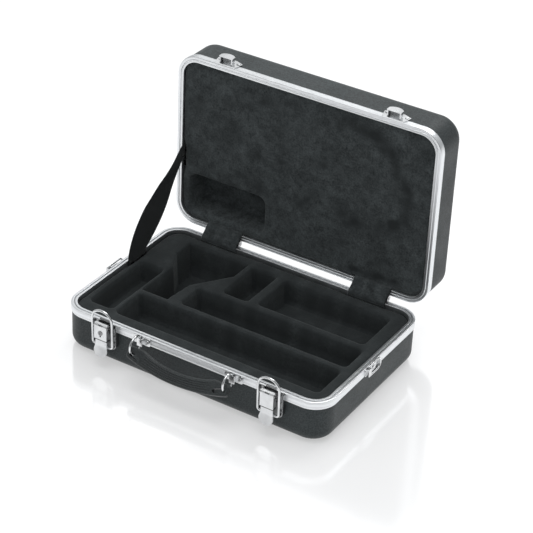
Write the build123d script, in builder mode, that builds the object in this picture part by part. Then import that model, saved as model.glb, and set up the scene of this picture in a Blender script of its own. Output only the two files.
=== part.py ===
from build123d import *

import os
from math import cos, radians, sin, sqrt

os.makedirs("parts", exist_ok=True)

# Clarinet case, standing on its base with the lid open at a right angle.
#
# Two moulded shells meet at aluminium frames (valances) with a tongue and groove. Two hinges carry
# the lid, two draw latches and their catches hold it shut, a moulded grip hangs on two wire rings,
# and a wire ring on each side takes a shoulder strap. A plush tray holds the instrument in fitted
# pockets.
#
# Frame: millimetres, origin on the floor under the middle of the base, +X along the case to the
# right seen from the latches, -Y out of the latch side, +Z up.

# --- driving dimensions: the two halves ---
CASE_LENGTH = 360.0
CASE_DEPTH = 232.0
BASE_HEIGHT = 57.0
LID_HEIGHT = 56.3
CORNER_RADIUS = 28.5
EDGE_RADIUS = 14.0
SHELL_WALL = 2.6
BODY_GAP = 0.3

# --- frames (valances) round the two rims ---
RIM_WIDTH = 7.7
VALANCE_WALL = 1.0
WEB_DEPTH = 3.2
BASE_BAND = 9.5
LID_BAND = 8.6
RIM_ROUNDING = 0.8
GROOVE_INSET = 3.4
GROOVE_WIDTH = 1.3
GROOVE_DEPTH = 1.4
TONGUE_CLEARANCE = 0.3
TONGUE_HEIGHT = 1.0

# --- inserts and plush ---
INSERT_GAP = 0.5
PLUSH = 1.5
FOAM_EDGE_RADIUS = 8.0
TRAY_TOP_DEPTH = 4.0
LID_LINING_DEPTH = 3.0
POCKET_CORNER = 6.0

# --- hinges ---
HINGE_OFFSET = 4.5
HINGE_FROM_END = 74.0
HINGE_LENGTH = 48.0
LEAF_THICKNESS = 1.2
LEAF_HEIGHT = 9.0
KNUCKLE_RADIUS = 3.7
KNUCKLE_COUNT = 5
HINGE_PIN_RADIUS = 1.5
PIN_CLEARANCE = 0.06
STOP_LENGTH = 7.0
STOP_THICKNESS = 1.2

# --- rivets ---
RIVET_RADIUS = 1.5
RIVET_HEAD_RADIUS = 2.5
RIVET_HEAD_HEIGHT = 1.1
RIVET_HEAD_ROUNDING = 0.75
RIVET_TAIL_RADIUS = 2.1
RIVET_TAIL_HEIGHT = 0.8
RIVET_CLEARANCE = 0.05

# --- latches (a drop is a distance below the rim of the base) ---
LATCH_FROM_END = 65.8
LATCH_PLATE_WIDTH = 34.4
LATCH_PLATE_DROP = 32.0
LATCH_PLATE_CORNER = 7.0
LATCH_SHEET = 1.2
LATCH_BORDER = 3.8
LATCH_BORDER_OPENING = 21.0
LEVER_PIVOT_OUT = 9.0
LEVER_PIVOT_DROP = 1.0
LEVER_PIN_RADIUS = 2.1
LEVER_BARREL = 3.4
LEVER_WIDTH = 17.6
LEVER_SIDE_GAP = 0.4
LEVER_EYE_RADIUS = 2.7
LEVER_FACE_DROP = 18.6
LEVER_TAB_STEP = 1.7
LEVER_JOG_DEPTH = 0.9
LEVER_JOG_HEIGHT = 1.5
LEVER_TAB_WAIST = 16.1
LEVER_TAB_BULGE = 18.8
LEVER_FLARE_DROP = 29.0
LEVER_TIP_DROP = 41.2
LEVER_TIP_FULLNESS = 0.72
LEVER_TIP_OUT = 14.2
LEVER_SLOT_LENGTH = 6.0
LEVER_SLOT_HEIGHT = 1.5
CHEEK_RADIUS = 3.0
BAIL_WIRE_RADIUS = 1.5
BAIL_HALF_WIDTH = 13.85
BAIL_PIVOT_OUT = 7.5
BAIL_PIVOT_DROP = 29.0
BAIL_LENGTH = 48.4
BAIL_LEAN = 2.0
BAIL_TOP_RADIUS = 13.0
BAIL_FOOT_RADIUS = 3.4
BAIL_FOOT_GRIP = 0.6
TONGUE_PLATE_HALF = 6.5
TONGUE_PLATE_OUT = 1.6
TONGUE_PLATE_RISE = 4.5
TONGUE_PLATE_DROP = 8.0
CURL_RADIUS = 1.4
LATCH_RIVET_X = 3.2
LATCH_RIVET_DROPS = (26.0, 14.5)
PLUG_RADIUS = 3.2
PLUG_DROP = 9.5
PLUG_FLANGE = 1.0
PLUG_PROUD = 0.5
PLUG_CLEARANCE = 0.07
KEYWAY_WIDTH = 0.9
KEYWAY_LENGTH = 4.2
KEYHOLE_WIDTH = 2.2
KEYHOLE_DROP = 5.4

# --- catches on the lid ---
CATCH_RIM_HALF = 14.2
CATCH_HALF_WIDTH = 17.4
CATCH_START = 0.6
CATCH_EAR_DEPTH = 13.6
CATCH_BACK_HALF = 7.0
CATCH_DEPTH = 17.6
CATCH_HEIGHT = 10.0
HOOD_CLEARANCE = 0.6
HOOD_HALF_WIDTH = 9.4
HOOD_ARC = 12.0
HOOD_WALL = 1.2
HOOD_LIP = 1.4
HOOD_NECK = 0.7
HOOK_GAP = 4.4
CATCH_RIVET_X = 12.9
CATCH_RIVET_DEPTH = 11.2

# --- carrying handle ---
HANDLE_X = 63.5
RING_WIRE_RADIUS = 1.4
RING_RADIUS = 11.0
WIRE_GAP = 0.5
HANDLE_TILT = 40.0
HANDLE_HALF_LENGTH = 69.0
HANDLE_THICKNESS = 8.0
HANDLE_BOTTOM_MIDDLE = -14.9
HANDLE_BOTTOM_END = -4.4
HANDLE_TOP_MIDDLE = 0.4
HANDLE_TOP_SHOULDER = 9.2
HANDLE_SHOULDER_X = 49.0
HANDLE_TOP_END = 9.0
HANDLE_CORNER = 3.4
HANDLE_EDGE = 2.4
SLOT_X = 57.7
SLOT_LENGTH = 16.0
SLOT_HEIGHT = 5.4
SLOT_DROP = 1.4
SLOT_TILT = 19.0

# --- handle brackets ---
BRACKET_HALF_WIDTH = 12.5
BRACKET_HEIGHT = 10.0
BRACKET_CORNER = 3.0
BRACKET_SHEET = 1.0
HUMP_HALF_WIDTH = 3.8
HUMP_CLEARANCE = 0.5
BRACKET_RIVET_X = 8.4
BRACKET_TOP_GAP = 0.6

# --- side rings for a shoulder strap ---
SIDE_RING_Y = -18.5
SIDE_WIRE_RADIUS = 1.3
SIDE_RING_HALF_HEIGHT = 6.9
SIDE_RING_DEPTH = 27.0
SIDE_RING_FOOT = 2.6
SIDE_RING_NOSE = 6.4
CLIP_FRONT = 6.5
CLIP_BACK = 17.5
CLIP_HUMP = 3.2
CLIP_RIVET = 12.5

# --- stay strap and hinge covers ---
STRAP_THICKNESS = 1.3
STRAP_FOOTPRINT = 38.0
STRAP_BASE_Y = 25.0
STRAP_LID_HEIGHT = 150.5
STRAP_TUCK = 6.0
STRAP_CLEARANCE = 0.1
STRAP_NOTCH_GAP = 0.8
STRAP_RIVET_SPACING = 20.0
STRAP_RIVET_DEPTH = 6.4
COVER_WIDTH = 53.0
COVER_TUCK = 7.0
COVER_GAP = 0.4

# --- derived places ---
HINGE_Y = CASE_DEPTH / 2 + HINGE_OFFSET
HINGE_Z = BASE_HEIGHT + BODY_GAP / 2
LID_RIM_Y = HINGE_Y + BODY_GAP / 2
LID_BACK_Z = HINGE_Z + HINGE_OFFSET
LID_FRONT_Z = LID_BACK_Z + CASE_DEPTH
FRONT_Y = -CASE_DEPTH / 2
SHELL_INSET = VALANCE_WALL
CAVITY_INSET = SHELL_INSET + SHELL_WALL
INSERT_INSET = RIM_WIDTH + INSERT_GAP
TRAY_TOP = BASE_HEIGHT - TRAY_TOP_DEPTH
TRAY_LEFT = INSERT_INSET - CASE_LENGTH / 2
TRAY_RIGHT = CASE_LENGTH / 2 - INSERT_INSET
HINGE_X = CASE_LENGTH / 2 - HINGE_FROM_END
LATCH_X = CASE_LENGTH / 2 - LATCH_FROM_END
LATCH_PLATE_BOTTOM = BASE_HEIGHT - LATCH_PLATE_DROP
LEVER_PIVOT_HEIGHT = BASE_HEIGHT - LEVER_PIVOT_DROP
LEVER_FACE_FOOT = BASE_HEIGHT - LEVER_FACE_DROP
LEVER_FLARE_HEIGHT = BASE_HEIGHT - LEVER_FLARE_DROP
LEVER_TIP_HEIGHT = BASE_HEIGHT - LEVER_TIP_DROP
BAIL_PIVOT_HEIGHT = BASE_HEIGHT - BAIL_PIVOT_DROP
PLUG_HEIGHT = BASE_HEIGHT - PLUG_DROP
BAIL_INNER_TOP = BAIL_PIVOT_HEIGHT + BAIL_LENGTH * cos(radians(BAIL_LEAN)) - BAIL_WIRE_RADIUS
HOOD_START = LEVER_BARREL + HOOD_CLEARANCE - LEVER_PIVOT_DROP - BODY_GAP
HOOD_END = BAIL_INNER_TOP - HOOK_GAP - BASE_HEIGHT - BODY_GAP
BRACKET_CENTRE = BASE_HEIGHT - BRACKET_TOP_GAP - BRACKET_HEIGHT / 2
RING_OUT = WIRE_GAP + RING_WIRE_RADIUS + RING_RADIUS
RING_BOW = RING_RADIUS - sqrt(RING_RADIUS**2 - (BRACKET_HEIGHT / 2) ** 2)
HANDLE_TUNNEL = WIRE_GAP + 2 * RING_WIRE_RADIUS + RING_BOW + HUMP_CLEARANCE
SIDE_TUNNEL = WIRE_GAP + 2 * SIDE_WIRE_RADIUS + HUMP_CLEARANCE
LEVER_FACE_OUT = LEVER_PIVOT_OUT + LEVER_BARREL - LATCH_SHEET
CHEEK_INNER = LEVER_WIDTH / 2 + LEVER_SIDE_GAP
PIN_HALF = CHEEK_INNER + LATCH_SHEET
RING_Y = FRONT_Y - RING_OUT
SIDE_RING_OUT = WIRE_GAP + SIDE_WIRE_RADIUS
TRAY_FLOOR = SHELL_WALL + BODY_GAP
MOUTHPIECE_FLOOR = 27.0
JOINT_FLOOR = 21.0
BELL_FLOOR = 9.0
ACCESSORY_FLOOR = 23.0

# Rectangular pockets of the tray: left, right, front, back and floor height.
BOX_POCKETS = {
    "mouthpiece": (TRAY_LEFT + 8.8, TRAY_LEFT + 42.8, -85.0, 24.0, MOUTHPIECE_FLOOR),
    "upper_joint": (TRAY_LEFT + 99.8, TRAY_RIGHT - 14.8, -27.0, 14.0, JOINT_FLOOR),
    "lower_joint": (TRAY_LEFT + 48.8, TRAY_RIGHT - 14.8, -88.0, -36.0, JOINT_FLOOR),
    "barrel": (TRAY_LEFT + 127.8, TRAY_LEFT + 163.8, 22.0, 92.0, JOINT_FLOOR),
    "accessory": (TRAY_LEFT + 175.8, TRAY_RIGHT - 20.8, 24.0, 90.0, ACCESSORY_FLOOR),
}
# Bell pocket: narrow at the tenon, wide at the flare.
BELL_OUTLINE = (
    (TRAY_LEFT + 46.8, -29.0),
    (TRAY_LEFT + 82.8, -29.0),
    (TRAY_LEFT + 86.8, 12.0),
    (TRAY_LEFT + 119.8, 60.0),
    (TRAY_LEFT + 119.8, 93.0),
    (TRAY_LEFT + 33.8, 93.0),
    (TRAY_LEFT + 33.8, 62.0),
    (TRAY_LEFT + 47.8, 34.0),
)
# Recess of the lid over the bell: left, right, distance from the hinge side, and depth below the rim.
LID_RECESS = (TRAY_LEFT + 7.8, TRAY_LEFT + 116.8, 16.0, 70.0, 36.0)

BASE_RIM = Plane(origin=(0, 0, BASE_HEIGHT), x_dir=(1, 0, 0), z_dir=(0, 0, 1))
LID_RIM = Plane(
    origin=(0, LID_RIM_Y, (LID_BACK_Z + LID_FRONT_Z) / 2), x_dir=(1, 0, 0), z_dir=(0, -1, 0)
)


# --- planes on the outer faces ---
def front_face(x, height=0.0):
    """Plane on the latch side: local x to the right, local y up, local z out of the case."""
    return Plane(origin=(x, FRONT_Y, height), x_dir=(1, 0, 0), z_dir=(0, -1, 0))


def front_section(x):
    """Upright plane across the latch side: local x out of the case, local y up."""
    return Plane(origin=(x, FRONT_Y, 0), x_dir=(0, -1, 0), z_dir=(-1, 0, 0))


def back_face(x, height):
    """Plane on the hinge side of the base, local y up, local z out of the case."""
    return Plane(origin=(x, CASE_DEPTH / 2, height), x_dir=(-1, 0, 0), z_dir=(0, 1, 0))


def side_face(side, y, height):
    """Plane on the left (-1) or right (1) side of the base, local y up, local z out."""
    return Plane(origin=(side * CASE_LENGTH / 2, y, height), x_dir=(0, side, 0), z_dir=(side, 0, 0))


def lid_front_face(x, depth=0.0):
    """Plane on the lid's latch side: local y runs from the rim towards the top of the lid."""
    return Plane(origin=(x, LID_RIM_Y + depth, LID_FRONT_Z), x_dir=(1, 0, 0), z_dir=(0, 0, 1))


def lid_back_face(x, depth):
    """Plane on the lid's hinge side, at a depth from the rim."""
    return Plane(origin=(x, LID_RIM_Y + depth, LID_BACK_Z), x_dir=(1, 0, 0), z_dir=(0, 0, -1))


# --- shared solids ---
def rim_block(rim, inset, near, far, near_rounding=0.0, far_rounding=0.0):
    """Block with the case's rounded outline, drawn in by inset, between two depths below a rim."""
    with BuildPart() as block:
        with BuildSketch(rim.offset(-near)):
            RectangleRounded(CASE_LENGTH - 2 * inset, CASE_DEPTH - 2 * inset, CORNER_RADIUS - inset)
        extrude(amount=near - far)
        across = Axis(rim.origin, rim.z_dir)
        if near_rounding:
            fillet(block.faces().sort_by(across)[-1].edges(), near_rounding)
        if far_rounding:
            fillet(block.faces().sort_by(across)[0].edges(), far_rounding)
    return block.part


def drill(planes, depth):
    """Rivet holes through whatever lies within depth of each plane, both ways."""
    with BuildPart() as holes:
        for plane in planes:
            with BuildSketch(plane):
                Circle(RIVET_RADIUS + RIVET_CLEARANCE)
            extrude(amount=depth, both=True)
    return holes.part


def rivet(plane, grip):
    """Round-head rivet: head on the plane, shank through grip, clinched tail beyond it."""
    with BuildPart() as body:
        with BuildSketch(plane):
            Circle(RIVET_HEAD_RADIUS)
        extrude(amount=RIVET_HEAD_HEIGHT)
        fillet(body.faces().sort_by(Axis(plane.origin, plane.z_dir))[-1].edges(), RIVET_HEAD_ROUNDING)
        with BuildSketch(plane):
            Circle(RIVET_RADIUS)
        extrude(amount=-grip)
        with BuildSketch(plane.offset(-grip)):
            Circle(RIVET_TAIL_RADIUS)
        extrude(amount=-RIVET_TAIL_HEIGHT)
    return body.part


def rivet_group(planes, grip):
    """Like rivets as separate solids of one piece."""
    with BuildPart() as group:
        for plane in planes:
            add(rivet(plane, grip))
    return group


def wire_form(plane, points, radii, wire_radius, closed=False):
    """Round wire bent along straight runs and tangent arcs."""
    with BuildPart() as form:
        with BuildLine(plane) as route:
            FilletPolyline(*points, radius=radii, close=closed)
        with BuildSketch(Plane(origin=route.line @ 0, z_dir=route.line % 0)):
            Circle(wire_radius)
        sweep(path=route.line)
    return form


def write_node(piece, name):
    """Label a finished piece and write it as one node."""
    piece.part.label = name
    export_step(piece.part, f"parts/{name}.step")


# --- where the rivets go ---
def knuckle_span(index):
    """Middle of a knuckle along the hinge, from its centre."""
    pitch = HINGE_LENGTH / KNUCKLE_COUNT
    return (index - (KNUCKLE_COUNT - 1) / 2) * pitch


def latch_rivet_planes(side, out):
    return [
        front_face(side * LATCH_X + x, BASE_HEIGHT - drop).offset(out)
        for x in (-LATCH_RIVET_X, LATCH_RIVET_X)
        for drop in LATCH_RIVET_DROPS
    ]


def handle_rivet_planes(side, out):
    return [
        front_face(side * HANDLE_X + x, BRACKET_CENTRE).offset(out)
        for x in (-BRACKET_RIVET_X, BRACKET_RIVET_X)
    ]


def side_rivet_planes(side, out):
    return [side_face(side, SIDE_RING_Y + CLIP_RIVET, BRACKET_CENTRE).offset(out)]


def hinge_rivet_planes(side, out, lid):
    places = [side * HINGE_X + knuckle_span(index) for index in range(1, KNUCKLE_COUNT, 2)]
    depth = LEAF_HEIGHT / 2 + LEAF_THICKNESS
    if lid:
        return [lid_back_face(x, depth).offset(out) for x in places]
    return [back_face(x, HINGE_Z - depth).offset(out) for x in places]


def catch_rivet_planes(side, out):
    return [
        lid_front_face(side * LATCH_X + x, CATCH_RIVET_DEPTH).offset(out)
        for x in (-CATCH_RIVET_X, CATCH_RIVET_X)
    ]


def strap_rivet_planes(out, lid):
    """Planes on the strap's inner face, facing into the case."""
    x = -CASE_LENGTH / 2 + RIM_WIDTH + out
    steps = (-STRAP_RIVET_SPACING / 2, STRAP_RIVET_SPACING / 2)
    if lid:
        y = LID_RIM_Y + STRAP_RIVET_DEPTH - 2 * BODY_GAP
        return [Plane(origin=(x, y, STRAP_LID_HEIGHT + s), z_dir=(1, 0, 0)) for s in steps]
    z = BASE_HEIGHT - STRAP_RIVET_DEPTH
    return [Plane(origin=(x, STRAP_BASE_Y + s, z), z_dir=(1, 0, 0)) for s in steps]


BASE_WALL_RIVETS = (
    latch_rivet_planes(-1, 0) + latch_rivet_planes(1, 0)
    + handle_rivet_planes(-1, 0) + handle_rivet_planes(1, 0)
    + side_rivet_planes(-1, 0) + side_rivet_planes(1, 0)
    + hinge_rivet_planes(-1, 0, False) + hinge_rivet_planes(1, 0, False)
)
LID_WALL_RIVETS = (
    catch_rivet_planes(-1, 0) + catch_rivet_planes(1, 0)
    + hinge_rivet_planes(-1, 0, True) + hinge_rivet_planes(1, 0, True)
)


# --- shells and frames ---
def build_shell(rim, height, holes):
    """Moulded half: a tray with rounded edges, its rim tucked under the frame's web."""
    with BuildPart() as shell:
        add(rim_block(rim, SHELL_INSET, WEB_DEPTH, height, far_rounding=EDGE_RADIUS))
        hollow_rounding = EDGE_RADIUS - SHELL_WALL
        add(
            rim_block(rim, CAVITY_INSET, 0, height - SHELL_WALL, far_rounding=hollow_rounding),
            mode=Mode.SUBTRACT,
        )
        add(drill(holes, CAVITY_INSET + RIVET_HEAD_HEIGHT), mode=Mode.SUBTRACT)
    return shell


def build_valance(rim, band, holes, strap_holes):
    """Frame round a rim: an outer band, a web over the shell's edge and an inner leg."""
    with BuildPart() as valance:
        add(rim_block(rim, 0, 0, band, near_rounding=RIM_ROUNDING))
        add(rim_block(rim, SHELL_INSET, WEB_DEPTH, band), mode=Mode.SUBTRACT)
        add(rim_block(rim, RIM_WIDTH - VALANCE_WALL, 0, band))
        add(rim_block(rim, RIM_WIDTH, 0, band), mode=Mode.SUBTRACT)
        add(drill(holes, CAVITY_INSET + RIVET_HEAD_HEIGHT), mode=Mode.SUBTRACT)
        add(drill(strap_holes, 2 * VALANCE_WALL), mode=Mode.SUBTRACT)
    return valance


def rim_ring(rim, inset, width, near, far):
    """Ring of the case's outline between two insets and two depths."""
    with BuildPart() as ring:
        add(rim_block(rim, inset, near, far))
        add(rim_block(rim, inset + width, near, far), mode=Mode.SUBTRACT)
    return ring.part


def build_base_valance():
    strap_holes = strap_rivet_planes(0, False)
    with BuildPart() as valance:
        add(build_valance(BASE_RIM, BASE_BAND, BASE_WALL_RIVETS, strap_holes).part)
        groove = rim_ring(BASE_RIM, GROOVE_INSET, GROOVE_WIDTH, 0, GROOVE_DEPTH)
        add(groove, mode=Mode.SUBTRACT)
    return valance


def build_lid_valance():
    strap_holes = strap_rivet_planes(0, True)
    inset = GROOVE_INSET + TONGUE_CLEARANCE
    width = GROOVE_WIDTH - 2 * TONGUE_CLEARANCE
    with BuildPart() as valance:
        add(build_valance(LID_RIM, LID_BAND, LID_WALL_RIVETS, strap_holes).part)
        add(rim_ring(LID_RIM, inset, width, -TONGUE_HEIGHT, WEB_DEPTH / 2))
    return valance


# --- tray and lid inserts ---
def tray_pockets():
    """Outline and floor height of every pocket of the tray."""
    pockets = []
    for left, right, front, back, floor in BOX_POCKETS.values():
        with BuildSketch() as outline:
            with Locations(((left + right) / 2, (front + back) / 2)):
                RectangleRounded(right - left, back - front, POCKET_CORNER)
        pockets.append((outline.sketch, floor))
    with BuildSketch() as bell:
        with BuildLine():
            Polyline(*BELL_OUTLINE, close=True)
        make_face()
        fillet(bell.vertices(), POCKET_CORNER)
    pockets.append((bell.sketch, BELL_FLOOR))
    return pockets


def pocket_block(outline, growth, bottom, top):
    """Pocket outline, grown sideways, as a block between two heights."""
    with BuildPart() as block:
        with BuildSketch(Plane.XY.offset(bottom)) as sketch:
            add(outline)
            if growth:
                offset(sketch.sketch, amount=growth, mode=Mode.REPLACE)
        extrude(amount=top - bottom)
    return block.part


def recess_block(growth):
    """Recess of the lid over the bell, grown on every hidden side."""
    left, right, near, far, depth = LID_RECESS
    length = right - left + 2 * growth
    width = far - near + 2 * growth
    centre = ((left + right) / 2, LID_BACK_Z + (near + far) / 2 - LID_RIM.origin.Z)
    with BuildPart() as block:
        with BuildSketch(LID_RIM):
            with Locations(centre):
                RectangleRounded(length, width, POCKET_CORNER + growth)
        extrude(amount=-depth - growth)
    return block.part


def tuck_notches(lid):
    """Room at the edge of an insert for the strap's end and the two hinge covers."""
    deep = COVER_TUCK + STRAP_NOTCH_GAP
    strap_span = STRAP_FOOTPRINT + 2 * STRAP_NOTCH_GAP
    strap_room = 2 * (INSERT_GAP + STRAP_THICKNESS + RIVET_HEAD_HEIGHT + STRAP_NOTCH_GAP)
    cover_room = 2 * (INSERT_GAP + PLUSH + STRAP_NOTCH_GAP)
    cover_span = COVER_WIDTH + 2 * STRAP_NOTCH_GAP
    edge_x = -CASE_LENGTH / 2 + RIM_WIDTH
    with BuildPart() as notches:
        if lid:
            depth = LID_LINING_DEPTH + deep
            mid = LID_RIM_Y + depth / 2
            with Locations((edge_x, mid, STRAP_LID_HEIGHT)):
                Box(strap_room, depth, strap_span)
            with Locations(*[(x, mid, LID_BACK_Z + RIM_WIDTH) for x in (-HINGE_X, HINGE_X)]):
                Box(cover_span, depth, cover_room)
        else:
            depth = TRAY_TOP_DEPTH + deep
            mid = BASE_HEIGHT - depth / 2
            with Locations((edge_x, STRAP_BASE_Y, mid)):
                Box(strap_room, strap_span, depth)
            with Locations(*[(x, CASE_DEPTH / 2 - RIM_WIDTH, mid) for x in (-HINGE_X, HINGE_X)]):
                Box(cover_span, cover_room, depth)
    return notches.part


def build_tray_foam():
    """Foam block with room for the plush and the pockets."""
    with BuildPart() as foam:
        top = TRAY_TOP_DEPTH + PLUSH
        add(rim_block(BASE_RIM, INSERT_INSET, top, BASE_HEIGHT - TRAY_FLOOR, far_rounding=FOAM_EDGE_RADIUS))
        for outline, floor in tray_pockets():
            add(pocket_block(outline, PLUSH, floor - PLUSH, TRAY_TOP), mode=Mode.SUBTRACT)
        add(tuck_notches(False), mode=Mode.SUBTRACT)
    return foam


def build_tray_lining():
    """Plush over the foam and down into every pocket."""
    with BuildPart() as lining:
        add(rim_block(BASE_RIM, INSERT_INSET, TRAY_TOP_DEPTH, TRAY_TOP_DEPTH + PLUSH))
        for outline, floor in tray_pockets():
            add(pocket_block(outline, PLUSH, floor - PLUSH, TRAY_TOP))
        for outline, floor in tray_pockets():
            add(pocket_block(outline, 0, floor, TRAY_TOP), mode=Mode.SUBTRACT)
        add(tuck_notches(False), mode=Mode.SUBTRACT)
    return lining


def build_lid_foam():
    """Foam block of the lid with room for the plush and the bell's recess."""
    with BuildPart() as foam:
        far = LID_HEIGHT - SHELL_WALL - BODY_GAP
        near = LID_LINING_DEPTH + PLUSH
        add(rim_block(LID_RIM, INSERT_INSET, near, far, far_rounding=FOAM_EDGE_RADIUS))
        add(recess_block(PLUSH), mode=Mode.SUBTRACT)
        add(tuck_notches(True), mode=Mode.SUBTRACT)
    return foam


def build_lid_lining():
    """Plush over the lid's foam and into the recess."""
    with BuildPart() as lining:
        add(recess_block(PLUSH))
        add(rim_block(LID_RIM, 0, 0, LID_LINING_DEPTH), mode=Mode.SUBTRACT)
        add(rim_block(LID_RIM, INSERT_INSET, LID_LINING_DEPTH, LID_LINING_DEPTH + PLUSH))
        add(recess_block(0), mode=Mode.SUBTRACT)
        add(tuck_notches(True), mode=Mode.SUBTRACT)
    return lining


# --- strap and hinge covers ---
def build_stay_strap():
    """Webbing that limits the lid: a flat diagonal band beside the left wall."""
    half = STRAP_FOOTPRINT / 2
    start = STRAP_BASE_Y - half
    end = STRAP_BASE_Y + half
    low = STRAP_LID_HEIGHT - half
    high = STRAP_LID_HEIGHT + half
    foot = BASE_HEIGHT - BASE_BAND
    tuck = LID_RIM_Y + STRAP_TUCK - BODY_GAP
    outline = (
        (start, foot),
        (end, foot),
        (end, BASE_HEIGHT),
        (LID_RIM_Y, low),
        (tuck, low),
        (tuck, high),
        (LID_RIM_Y, high),
        (start, BASE_HEIGHT),
    )
    inner_wall = -CASE_LENGTH / 2 + RIM_WIDTH + STRAP_CLEARANCE
    with BuildPart() as strap:
        with BuildSketch(Plane.YZ.offset(inner_wall)):
            with BuildLine():
                Polyline(*outline, close=True)
            make_face()
        extrude(amount=STRAP_THICKNESS)
        add(drill(strap_rivet_planes(0, False) + strap_rivet_planes(0, True), RIM_WIDTH), mode=Mode.SUBTRACT)
    return strap


def build_hinge_cover(side):
    """Plush flap over a hinge: down into the tray, across the gap and into the lid."""
    inner = CASE_DEPTH / 2 - RIM_WIDTH
    lid_edge = LID_BACK_Z + RIM_WIDTH
    slope_gap = COVER_GAP * 2
    outline = (
        (inner - COVER_GAP, BASE_HEIGHT - COVER_TUCK),
        (inner - COVER_GAP, BASE_HEIGHT + slope_gap),
        (LID_RIM_Y - slope_gap, lid_edge + COVER_GAP),
        (LID_RIM_Y + COVER_TUCK, lid_edge + COVER_GAP),
        (LID_RIM_Y + COVER_TUCK, lid_edge + COVER_GAP + PLUSH),
        (LID_RIM_Y - slope_gap, lid_edge + COVER_GAP + PLUSH),
        (inner - COVER_GAP - PLUSH, BASE_HEIGHT + slope_gap),
        (inner - COVER_GAP - PLUSH, BASE_HEIGHT - COVER_TUCK),
    )
    with BuildPart() as cover:
        with BuildSketch(Plane.YZ.offset(side * HINGE_X)):
            with BuildLine():
                Polyline(*outline, close=True)
            make_face()
        extrude(amount=COVER_WIDTH / 2, both=True)
    return cover


# --- hinges ---
def knuckles(side, indexes, radius, gap):
    """Row of knuckle barrels round the hinge pin."""
    length = HINGE_LENGTH / KNUCKLE_COUNT - gap
    with BuildPart(Plane(origin=(side * HINGE_X, HINGE_Y, HINGE_Z), z_dir=(1, 0, 0))) as barrels:
        with Locations(*[(0, 0, knuckle_span(i)) for i in indexes]):
            Cylinder(radius, length)
    return barrels.part


def build_hinge_leaf(side, lid):
    """Leaf with its knuckles; the base leaf also has the tails that stop the lid."""
    own = range(1 if lid else 0, KNUCKLE_COUNT, 2)
    other = range(0 if lid else 1, KNUCKLE_COUNT, 2)
    x = side * HINGE_X
    face_z = HINGE_Z + HINGE_OFFSET - LEAF_THICKNESS / 2
    face_y = HINGE_Y - HINGE_OFFSET + LEAF_THICKNESS / 2
    with BuildPart() as leaf:
        if lid:
            with Locations((x, HINGE_Y + (LEAF_HEIGHT + BODY_GAP) / 2, face_z)):
                Box(HINGE_LENGTH, LEAF_HEIGHT - BODY_GAP, LEAF_THICKNESS)
        else:
            with Locations((x, face_y, HINGE_Z - LEAF_HEIGHT / 2)):
                Box(HINGE_LENGTH, LEAF_THICKNESS, LEAF_HEIGHT)
        add(knuckles(side, other, KNUCKLE_RADIUS + BODY_GAP, -BODY_GAP), mode=Mode.SUBTRACT)
        add(knuckles(side, own, KNUCKLE_RADIUS, BODY_GAP))
        if not lid:
            stop_z = HINGE_Z + HINGE_OFFSET - LEAF_THICKNESS - BODY_GAP - STOP_THICKNESS / 2
            length = HINGE_LENGTH / KNUCKLE_COUNT - BODY_GAP
            for index in own:
                with Locations((x + knuckle_span(index), HINGE_Y + STOP_LENGTH / 2, stop_z)):
                    Box(length, STOP_LENGTH, STOP_THICKNESS)
        bore = HINGE_PIN_RADIUS + PIN_CLEARANCE
        add(knuckles(side, range(KNUCKLE_COUNT), bore, -BODY_GAP), mode=Mode.SUBTRACT)
        add(drill(hinge_rivet_planes(side, 0, lid), 2 * LEAF_THICKNESS), mode=Mode.SUBTRACT)
    return leaf


def build_hinge_pins():
    """The two hinge pins, a little longer than their knuckles."""
    with BuildPart() as pins:
        for side in (-1, 1):
            with BuildSketch(Plane(origin=(side * HINGE_X, HINGE_Y, HINGE_Z), z_dir=(1, 0, 0))):
                Circle(HINGE_PIN_RADIUS)
            extrude(amount=HINGE_LENGTH / 2 + BODY_GAP, both=True)
    return pins


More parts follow.
